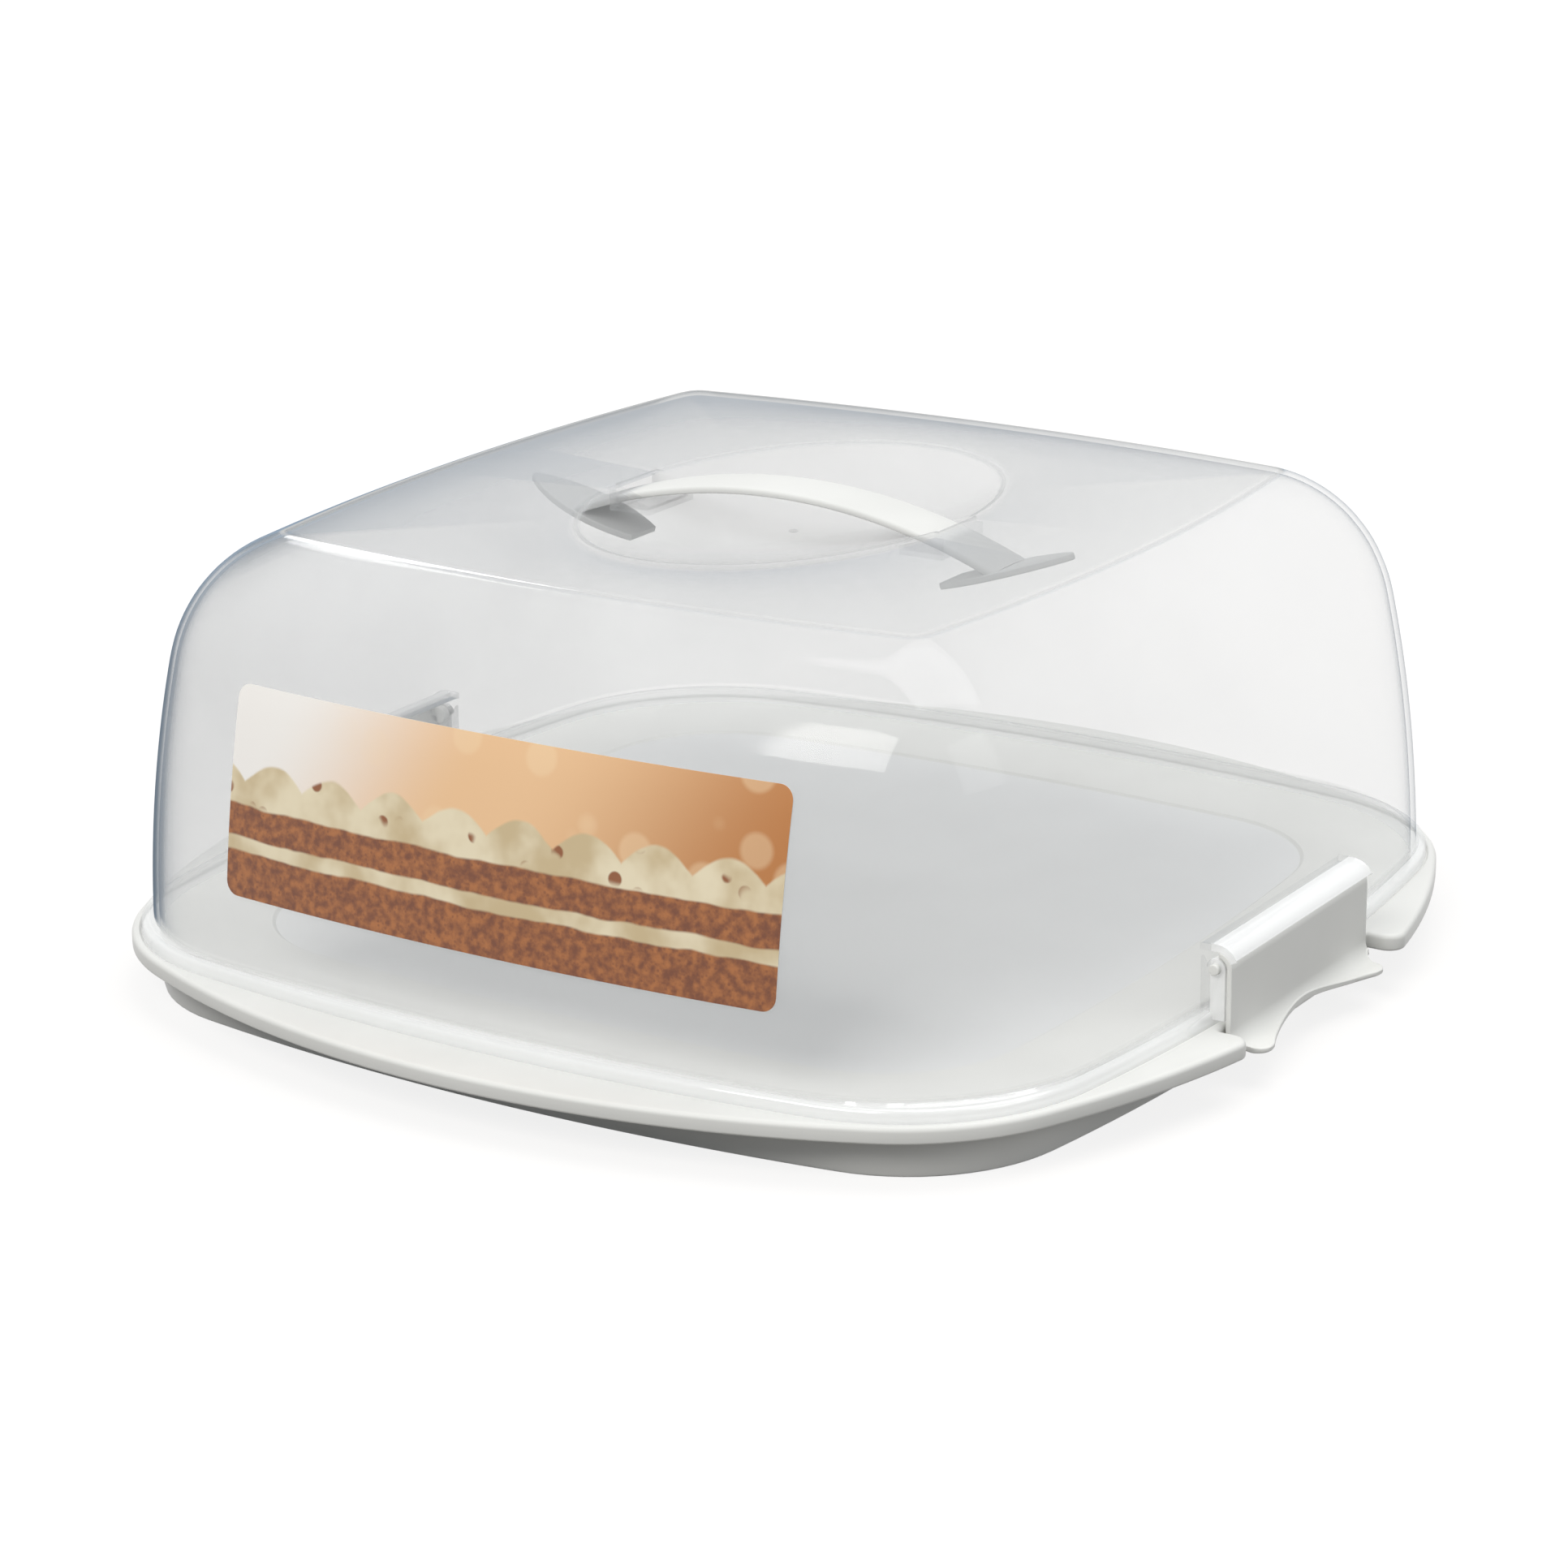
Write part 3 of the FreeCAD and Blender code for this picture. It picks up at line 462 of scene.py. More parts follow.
@dataclass(frozen=True)
class Dome:
    """The form of the lid: a leaning wall that curves into a shoulder under a flat top."""

    seat: float
    wall_half: float
    wall_bow: float = 11.7 * MM
    wall_corner: float = 66.8 * MM
    wall_lean: float = math.radians(2.7)
    wall_height: float = 79.5 * MM
    wall_radius: float = 440.0 * MM
    shoulder_radius: float = 48.4 * MM
    crease_slope: float = math.radians(15.2)
    crease_bow: float = 7.6 * MM
    crease_corner: float = 5.2 * MM
    corner_blend: float = 0.75
    near_crease: float = 0.975

    @property
    def turn_sine(self) -> float:
        """Sine of the wall's lean where the shoulder starts."""
        return math.sin(self.wall_lean) + self.wall_height / self.wall_radius

    @property
    def turn_cosine(self) -> float:
        """Cosine of the wall's lean where the shoulder starts."""
        return math.sqrt(1 - self.turn_sine ** 2)

    @property
    def turn_half(self) -> float:
        """Half width where the shoulder starts."""
        return self.wall_half - self.wall_radius * (math.cos(self.wall_lean) - self.turn_cosine)

    @property
    def crease_half(self) -> float:
        """Half width at the crease round the top."""
        return self.turn_half - self.shoulder_radius * (self.turn_cosine - math.sin(self.crease_slope))

    @property
    def top(self) -> float:
        """Height of the flat top."""
        rise = math.cos(self.crease_slope) - self.turn_sine
        return self.seat + self.wall_height + self.shoulder_radius * rise

    def level(self, height: float) -> Level:
        """The lid's level at a height.

        Args:
            height: Height above the ground, from the seat to the top.

        Returns:
            The level.
        """
        above = height - self.seat
        if above <= self.wall_height:
            sine = math.sin(self.wall_lean) + above / self.wall_radius
            cosine = math.sqrt(1 - sine ** 2)
            half = self.wall_half - self.wall_radius * (math.cos(self.wall_lean) - cosine)
        else:
            sine = self.turn_sine + (above - self.wall_height) / self.shoulder_radius
            cosine = math.sqrt(1 - sine ** 2)
            half = self.turn_half - self.shoulder_radius * (self.turn_cosine - cosine)
        share = max(self.wall_half - half, 0.0) / (self.wall_half - self.crease_half)
        bow = self.wall_bow + (self.crease_bow - self.wall_bow) * share
        corner = self.wall_corner + (self.crease_corner - self.wall_corner) * share ** self.corner_blend
        return Level(BowedSquare(half, bow, corner), height, sine, cosine)

    def levels(self, bottom: float, wall_steps: int = 22, shoulder_steps: int = 20) -> list[Level]:
        """Levels from a height up to the crease, closer together on the shoulder.

        Args:
            bottom: Height of the first level.
            wall_steps: Steps up the wall.
            shoulder_steps: Steps round the shoulder.

        Returns:
            The levels, from the lowest up.
        """
        turn = self.seat + self.wall_height
        heights = spaced(bottom, turn, wall_steps)[:-1]
        start = math.asin(self.turn_sine)
        sweep = SQUARE - self.crease_slope - start
        for share in spaced(0.0, 1.0, shoulder_steps)[:-1] + [self.near_crease, 1.0]:
            sine = math.sin(start + sweep * share)
            heights.append(turn + self.shoulder_radius * (sine - self.turn_sine))
        return [self.level(height) for height in heights]


class ShaderTree:
    """The node tree of a new material, with a principled shader on its output."""

    def __init__(self, name: str) -> None:
        """Make the material.

        Args:
            name: The material's name.
        """
        self.material = bpy.data.materials.new(name)
        self.material.use_nodes = True
        self.tree = self.material.node_tree
        self.shader = self.tree.nodes["Principled BSDF"]

    def node(self, kind: str, **settings: object) -> bpy.types.Node:
        """Add a node and set its properties.

        Args:
            kind: The node's type.
            settings: Properties of the node, by name.

        Returns:
            The node.
        """
        made = self.tree.nodes.new(kind)
        for name, value in settings.items():
            setattr(made, name, value)
        return made

    def link(self, source: bpy.types.NodeSocket, target: bpy.types.NodeSocket) -> None:
        """Wire one socket to another."""
        self.tree.links.new(source, target)

    def place(self) -> "Wire":
        """Object coordinates, which are the box's own frame in metres."""
        return Wire(self, self.node("ShaderNodeTexCoord").outputs["Object"])

    def noise(self, place: "Wire", scale: float, detail: float = 2.0) -> "Wire":
        """Soft noise from 0 to 1, with features of about one over scale metres.

        Args:
            place: Object coordinates.
            scale: Features to a metre.
            detail: How many finer layers it has.

        Returns:
            The noise.
        """
        made = self.node("ShaderNodeTexNoise")
        made.inputs["Scale"].default_value = scale
        made.inputs["Detail"].default_value = detail
        self.link(place.socket, made.inputs["Vector"])
        return Wire(self, made.outputs["Fac"])

    def spots(self, place: "Wire", scale: float, output: str = "Distance") -> "Wire":
        """Distance to, or colour of, the nearest of points scattered about one over scale metres apart.

        Args:
            place: Object coordinates.
            scale: Points to a metre.
            output: The texture's output that is read.

        Returns:
            The distance or the colour.
        """
        made = self.node("ShaderNodeTexVoronoi")
        made.inputs["Scale"].default_value = scale
        self.link(place.socket, made.inputs["Vector"])
        return Wire(self, made.outputs[output])

    def mix(self, share: "Wire", first: "Wire | Colour", second: "Wire | Colour") -> "Wire":
        """Blend two colours by a share from 0 to 1.

        Args:
            share: Share of the second colour.
            first: Colour at 0.
            second: Colour at 1.

        Returns:
            The blend.
        """
        made = self.node("ShaderNodeMix", data_type="RGBA")
        self.link(share.socket, made.inputs[0])
        for socket, colour in ((made.inputs[6], first), (made.inputs[7], second)):
            if isinstance(colour, Wire):
                self.link(colour.socket, socket)
            else:
                socket.default_value = (*colour, 1.0)
        return Wire(self, made.outputs[2])

    def bump(self, height: "Wire", strength: float, depth: float) -> None:
        """Give the surface a fine relief.

        Args:
            height: The relief.
            strength: How strongly it shows.
            depth: How deep it is.
        """
        made = self.node("ShaderNodeBump")
        made.inputs["Strength"].default_value = strength
        made.inputs["Distance"].default_value = depth
        self.link(height.socket, made.inputs["Height"])
        self.link(made.outputs["Normal"], self.shader.inputs["Normal"])


class Wire:
    """A value in a node tree, for use in formulas."""

    def __init__(self, tree: ShaderTree, socket: bpy.types.NodeSocket) -> None:
        """Hold an output socket."""
        self.tree = tree
        self.socket = socket

    def math(self, operation: str, *others: "Wire | float") -> "Wire":
        """Apply a math node to this value and others.

        Args:
            operation: The node's operation.
            others: The further inputs.

        Returns:
            The result.
        """
        made = self.tree.node("ShaderNodeMath", operation=operation)
        for socket, value in zip(made.inputs, (self, *others)):
            if isinstance(value, Wire):
                self.tree.link(value.socket, socket)
            else:
                socket.default_value = value
        return Wire(self.tree, made.outputs[0])

    def __add__(self, other: "Wire | float") -> "Wire":
        """Add a value."""
        return self.math("ADD", other)

    def __sub__(self, other: "Wire | float") -> "Wire":
        """Take a value away."""
        return self.math("SUBTRACT", other)

    def __mul__(self, other: "Wire | float") -> "Wire":
        """Multiply by a value."""
        return self.math("MULTIPLY", other)

    def toward(self, goal: float, share: "Wire") -> "Wire":
        """Go a share of the way from this value to a goal."""
        return self + share * (self * -1.0 + goal)

    def length(self) -> "Wire":
        """Length of a vector.

        Returns:
            The length.
        """
        made = self.tree.node("ShaderNodeVectorMath", operation="LENGTH")
        self.tree.link(self.socket, made.inputs[0])
        return Wire(self.tree, made.outputs["Value"])

    def part(self, axis: str) -> "Wire":
        """One coordinate of a vector.

        Args:
            axis: X, Y or Z.

        Returns:
            The coordinate.
        """
        made = self.tree.node("ShaderNodeSeparateXYZ")
        self.tree.link(self.socket, made.inputs[0])
        return Wire(self.tree, made.outputs[axis])

    def ramp(self, low: float, high: float, start: float = 0.0, end: float = 1.0) -> "Wire":
        """Rise softly from start to end as this value goes from low to high.

        Args:
            low: This value at the start.
            high: This value at the end.
            start: The result at low and below.
            end: The result at high and above.

        Returns:
            The ramped value.
        """
        made = self.tree.node("ShaderNodeMapRange", interpolation_type="SMOOTHSTEP")
        for socket, value in zip(made.inputs[1:5], (low, high, start, end)):
            socket.default_value = value
        self.tree.link(self.socket, made.inputs[0])
        return Wire(self.tree, made.outputs[0])

    def into(self, socket_name: str) -> None:
        """Wire this value into a socket of the principled shader."""
        self.tree.link(self.socket, self.tree.shader.inputs[socket_name])


@dataclass(frozen=True)
class MouldedPlastic:
    """Opaque moulded plastic with a satin skin."""

    name: str
    light: Colour
    dark: Colour
    roughness: float
    sheen: float = 0.15
    refraction: float = 1.49
    grain_scale: float = 2600.0
    grain_strength: float = 0.25
    grain_depth: float = 0.02 * MM
    cloud_scale: float = 26.0

    def material(self) -> bpy.types.Material:
        """Build the finish.

        Returns:
            The new material.
        """
        tree = ShaderTree(self.name)
        place = tree.place()
        clouds = tree.noise(place, self.cloud_scale, detail=3.0)
        grain = tree.noise(place, self.grain_scale)
        tree.mix(clouds.ramp(0.3, 0.7), self.dark, self.light).into("Base Color")
        (clouds.ramp(0.25, 0.75, -0.05, 0.05) + self.roughness).into("Roughness")
        tree.shader.inputs["IOR"].default_value = self.refraction
        tree.shader.inputs["Specular IOR Level"].default_value = self.sheen
        tree.bump(grain, self.grain_strength, self.grain_depth)
        return tree.material


@dataclass(frozen=True)
class LidRegions:
    """Where a point lies on the lid, as shares from 0 to 1, and how far it lies towards the right lug."""

    flat: Wire
    well: Wire
    crease: Wire
    rim: Wire
    lug: Wire
    # How far towards the right: sets the painted shade that darkens the left side and leaves the right side
    # lighter.
    right: Wire

    @property
    def level(self) -> Wire:
        """The flat top and the well together."""
        return self.flat.math("MAXIMUM", self.well)

    @property
    def thin(self) -> Wire:
        """All but the rim and the lugs."""
        return self.rim.math("MAXIMUM", self.lug) * -1.0 + 1.0


@dataclass(frozen=True)
class TranslucentPlastic:
    """Natural translucent plastic, milky where it is thick; darker at a slant and bluer at its outline,
    partly from the longer path through the plastic and partly painted shade, which also darkens the crease
    and the left side.
    """

    name: str
    top: float
    rim_top: float
    lug_start: float
    well_half_x: float
    well_half_y: float
    light: Colour = (0.62, 0.625, 0.63)
    dark: Colour = (0.57, 0.58, 0.585)
    # Tints at a slant, grey on the top and blue at the outline: partly the longer path through the plastic,
    # partly painted shade standing in for dark reflections.
    slanted: Colour = (0.42, 0.422, 0.415)
    outline: Colour = (0.17, 0.24, 0.325)
    milky: Colour = (0.88, 0.885, 0.88)
    roughness: float = 0.06
    gloss: float = 2.5
    top_haze: float = 0.09
    # Painted shade: the left side hazier and greyer, the right side clearer and lighter.
    shaded_left_haze: float = 0.24
    lit_right_haze: float = 0.055
    top_shade: float = 0.30
    wall_shade: float = 0.05
    slant_power: float = 8.0
    top_slant: float = 3.5
    # Painted shade: the slant tint is stronger on the left side than on the right.
    shaded_left_slant: float = 2.4
    lit_right_slant: float = 0.4
    well_slant: float = 0.5
    rim_share: float = 0.45
    lug_share: float = 0.68
    # Painted shade: a dark line along the crease round the top.
    crease_painted_shade: float = 0.40
    crease_width: float = 0.4 * MM
    crease_clear: float = 0.02 * MM
    crease_blur: float = 0.3 * MM
    flat_low: float = 1.0 * MM
    flat_high: float = 0.3 * MM
    rim_blur_low: float = 0.6 * MM
    rim_blur_high: float = 2.6 * MM
    lug_blur: float = 0.6 * MM
    well_blur: float = 0.08
    shade_low: float = 0.7
    shade_high: float = 0.95
    cloud_scale: float = 18.0
    grain_scale: float = 1500.0
    grain_strength: float = 0.1
    grain_depth: float = 0.02 * MM

    def regions(self, place: Wire) -> LidRegions:
        """Tell the lid's regions apart by place.

        Args:
            place: Object coordinates.

        Returns:
            The shares of the regions.
        """
        x, z = place.part("X"), place.part("Z")
        below = z * -1.0 + self.top
        crease = below.ramp(self.crease_clear, self.crease_blur)
        across = (x * (1 / self.well_half_x)).math("POWER", 2.0)
        along = (place.part("Y") * (1 / self.well_half_y)).math("POWER", 2.0)
        return LidRegions(
            flat=z.ramp(self.top - self.flat_low, self.top - self.flat_high),
            well=(across + along).ramp(1 - self.well_blur, 1 + self.well_blur, 1.0, 0.0),
            crease=crease * below.ramp(self.crease_width, 2 * self.crease_width, 1.0, 0.0),
            rim=z.ramp(self.rim_top - self.rim_blur_low, self.rim_top + self.rim_blur_high, 1.0, 0.0),
            lug=x.math("ABSOLUTE").ramp(self.lug_start, self.lug_start + self.lug_blur),
            right=x.ramp(-self.lug_start, self.lug_start))

    def slant(self, regions: LidRegions, facing: Wire) -> Wire:
        """How dark the lid is where it is seen at a slant, partly from the longer path through the plastic
        and partly painted shade that is heavier on the left than on the right, plus a painted shade line
        along its crease.

        Args:
            regions: Where the point lies on the lid.
            facing: 0 where the surface faces the viewer, rising to 1 where it is edge on.

        Returns:
            The share of the dark tint.
        """
        sides = regions.right * (self.lit_right_slant - self.shaded_left_slant) + self.shaded_left_slant
        slants = sides.toward(self.top_slant, regions.flat).toward(self.well_slant, regions.well)
        return facing.math("POWER", self.slant_power) * slants + regions.crease * self.crease_painted_shade

    def haze(self, regions: LidRegions) -> Wire:
        """How hazy the lid is where it is seen straight on, with painted shade making the left side hazier
        and greyer than the lighter right side.
        """
        sides = regions.right * (self.lit_right_haze - self.shaded_left_haze) + self.shaded_left_haze
        return sides.toward(self.top_haze, regions.level)

    def cover(self, tree: ShaderTree, place: Wire, share: Wire) -> Wire:
        """How much light the lid stops, with a share of its own for shadows and bounced light.

        Args:
            tree: The material's nodes.
            place: Object coordinates.
            share: What the lid covers to the eye.

        Returns:
            The finish's alpha.
        """
        rays = tree.node("ShaderNodeLightPath")
        shadow, bounced = (Wire(tree, rays.outputs[name]) for name in ("Is Shadow Ray", "Is Diffuse Ray"))
        low, high = self.top * self.shade_low, self.top * self.shade_high
        dim = place.part("Z").ramp(low, high, self.wall_shade, self.top_shade)
        return (share + shadow.math("MAXIMUM", bounced) * (dim - share)).math("MINIMUM", 1.0)

    def material(self) -> bpy.types.Material:
        """Build the finish.

        Returns:
            The new material.
        """
        tree = ShaderTree(self.name)
        place = tree.place()
        clouds = tree.noise(place, self.cloud_scale, detail=3.0)
        slant = tree.node("ShaderNodeLayerWeight")
        slant.inputs["Blend"].default_value = 0.5
        facing = Wire(tree, slant.outputs["Facing"])
        regions = self.regions(place)
        thin = regions.thin
        # The slant tint, partly painted shade, together with the painted shade line along the crease.
        slant_and_painted_shade = self.slant(regions, facing)
        share = slant_and_painted_shade + self.haze(regions) * clouds.ramp(0.2, 0.8, 0.85, 1.15)
        body = tree.mix(clouds.ramp(0.3, 0.7), self.dark, self.light)
        tint = tree.mix(regions.level, self.outline, self.slanted)
        body = tree.mix(slant_and_painted_shade.math("DIVIDE", share), body, tint)
        tree.mix(thin, self.milky, body).into("Base Color")
        share = (share * thin).math("MAXIMUM", regions.rim * self.rim_share)
        share = share.math("MAXIMUM", regions.lug * self.lug_share)
        self.cover(tree, place, share).into("Alpha")
        facing.ramp(0.45, 0.8, 0.5, 0.0).into("Specular IOR Level")
        (clouds.ramp(0.25, 0.75, -0.02, 0.02) + self.roughness).into("Roughness")
        tree.shader.inputs["IOR"].default_value = self.gloss
        tree.bump(tree.noise(place, self.grain_scale), self.grain_strength, self.grain_depth)
        return tree.material


@dataclass(frozen=True)
class PlainPaper:
    """The bare back of the label."""

    name: str
    colour: Colour
    shade: Colour
    fibre_scale: float = 900.0
    roughness: float = 0.7

    def material(self) -> bpy.types.Material:
        """Build the finish.

        Returns:
            The new material.
        """
        tree = ShaderTree(self.name)
        fibres = tree.noise(tree.place(), self.fibre_scale, detail=4.0)
        tree.mix(fibres.ramp(0.3, 0.7), self.shade, self.colour).into("Base Color")
        tree.shader.inputs["Roughness"].default_value = self.roughness
        return tree.material


@dataclass(frozen=True)
class BakeryPrint:
    """A printed strip: layers of sponge and cream under a warm sky of soft discs, with no lettering.

    The layers' levels are shares of the strip's height.
    """

    name: str
    half: float
    low: float
    high: float
    cream: Colour = (0.83, 0.73, 0.52)
    cream_shade: Colour = (0.60, 0.47, 0.27)
    sponge: Colour = (0.42, 0.145, 0.035)
    sponge_dark: Colour = (0.17, 0.045, 0.012)
    sky_left: Colour = (0.93, 0.90, 0.86)
    sky_middle: Colour = (0.86, 0.55, 0.30)
    sky_right: Colour = (0.50, 0.19, 0.045)
    disc: Colour = (0.95, 0.72, 0.45)
    nut: Colour = (0.27, 0.085, 0.022)
    filling_low: float = 0.235
    filling_high: float = 0.305
    frosting_low: float = 0.455
    frosting_high: float = 0.565
    layer_blur: float = 0.015
    frosting_blur: float = 0.02
    nut_low: float = 0.46
    nut_full: float = 0.50
    wave_width: float = 21 * MM
    wave_depth: float = 0.10
    ripple: float = 0.05
    disc_scale: float = 70.0
    ripple_scale: float = 60.0
    crumb_scale: float = 420.0
    pore_scale: float = 600.0
    pore_share: float = 0.6
    cream_scale: float = 55.0
    nut_scale: float = 115.0
    nut_patch_scale: float = 70.0
    sky_lean: float = -0.35
    roughness: float = 0.32
    coat: float = 0.3
    coat_roughness: float = 0.15

    def material(self) -> bpy.types.Material:
        """Build the print.

        Returns:
            The new material.
        """
        tree = ShaderTree(self.name)
        place = tree.place()
        across = place.part("X") * (1 / self.half)
        rise = (place.part("Z") - self.low) * (1 / (self.high - self.low))
        colour = self.layers(tree, place, rise, self.sky(tree, place, across, rise))
        colour.into("Base Color")
        tree.shader.inputs["Roughness"].default_value = self.roughness
        tree.shader.inputs["Coat Weight"].default_value = self.coat
        tree.shader.inputs["Coat Roughness"].default_value = self.coat_roughness
        return tree.material

    def sky(self, tree: ShaderTree, place: Wire, across: Wire, rise: Wire) -> Wire:
        """The warm background with its soft discs.

        Args:
            tree: The material's nodes.
            place: Object coordinates.
            across: From -1 at the left end to 1 at the right end.
            rise: Share of the strip's height.

        Returns:
            The colour.
        """
        slope = across + rise * self.sky_lean
        warm = tree.mix(slope.ramp(-1.15, -0.35), self.sky_left, self.sky_middle)
        warm = tree.mix(slope.ramp(-0.2, 0.8), warm, self.sky_right)
        discs = tree.spots(place, self.disc_scale).ramp(0.30, 0.42, 0.35, 0.0)
        return tree.mix(discs * across.ramp(-0.7, 0.0), warm, self.disc)

    def crumb(self, tree: ShaderTree, place: Wire) -> Wire:
        """The sponge, with its crumbs and pores.

        Args:
            tree: The material's nodes.
            place: Object coordinates.

        Returns:
            The colour.
        """
        crumbs = tree.noise(place, self.crumb_scale, detail=6.0)
        pores = tree.spots(place, self.pore_scale).ramp(0.1, 0.35, 1.0, 0.0) * self.pore_share
        sponge = tree.mix(crumbs.ramp(0.3, 0.72), self.sponge_dark, self.sponge)
        return tree.mix(pores, sponge, self.sponge_dark)

    def icing(self, tree: ShaderTree, place: Wire, level: Wire) -> Wire:
        """The cream, with bits of nut in the frosting.

        Args:
            tree: The material's nodes.
            place: Object coordinates.
            level: Share of the strip's height, with a ripple.

        Returns:
            The colour.
        """
        clouds = tree.noise(place, self.cream_scale, detail=3.0).ramp(0.35, 0.65)
        cream = tree.mix(clouds, self.cream_shade, self.cream)
        nuts = tree.spots(place, self.nut_scale).ramp(0.20, 0.27, 1.0, 0.0)
        nuts = nuts * tree.noise(place, self.nut_patch_scale).ramp(0.45, 0.55)
        return tree.mix(nuts * level.ramp(self.nut_low, self.nut_full), cream, self.nut)

    def layers(self, tree: ShaderTree, place: Wire, rise: Wire, sky: Wire) -> Wire:
        """The layers of sponge and cream over the background.

        Args:
            tree: The material's nodes.
            place: Object coordinates.
            rise: Share of the strip's height.
            sky: Colour of the background.

        Returns:
            The colour of the whole print.
        """
        wave = (place.part("X") * (math.pi / self.wave_width)).math("SINE").math("ABSOLUTE")
        level = rise + tree.noise(place, self.ripple_scale) * self.ripple
        sponge, cream = self.crumb(tree, place), self.icing(tree, place, level)
        frosting = level - wave * self.wave_depth
        top = self.frosting_high
        colour = tree.mix(frosting.ramp(top, top + self.frosting_blur), cream, sky)
        layers = ((self.frosting_low, sponge), (self.filling_high, cream), (self.filling_low, sponge))
        for start, below in layers:
            colour = tree.mix(level.ramp(start, start + self.layer_blur), below, colour)
        return colour


WHITE = MouldedPlastic("satin_white", (0.76, 0.76, 0.735), (0.73, 0.73, 0.70), 0.42)
# Painted shade: the leaves, under the lid's top, are a darker copy of the white plastic.
SHADED_LEAF_WHITE = MouldedPlastic("thin_white", (0.61, 0.615, 0.61), (0.57, 0.575, 0.57), 0.40)
# Painted shade: a darker copy of the white plastic that tones down the strap's lit top.
SHADED_STRAP_WHITE = MouldedPlastic("strap_white", (0.66, 0.66, 0.64), (0.63, 0.63, 0.61), 0.55, sheen=0.04)
TRAY_WHITE = MouldedPlastic("tray_white", (0.735, 0.735, 0.71), (0.705, 0.705, 0.68), 0.34)
PANEL_WHITE = MouldedPlastic("panel_white", (0.73, 0.735, 0.73), (0.705, 0.71, 0.705), 0.45)
PAPER = PlainPaper("label_back", (0.80, 0.79, 0.77), (0.74, 0.73, 0.71))


def finish(piece: bpy.types.Object, body: str, slot: str, *nodes: str) -> None:
    """Ride a piece on its body, in place of CAD nodes.

    Args:
        piece: The finished mesh.
        body: The body that carries it.
        slot: Not used.
        nodes: The nodes that it stands for.
    """
    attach(piece, body)
    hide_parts(*nodes)
    log.info("%s: %d faces on %s", piece.name, len(piece.data.polygons), body)


def dress(piece: bpy.types.Object, *materials: bpy.types.Material) -> None:
    """Give a piece its materials.

    Args:
        piece: The mesh that is dressed.
        materials: Its materials, in the order of their numbers.
    """
    piece.data.materials.clear()
    for material in materials:
        piece.data.materials.append(material)


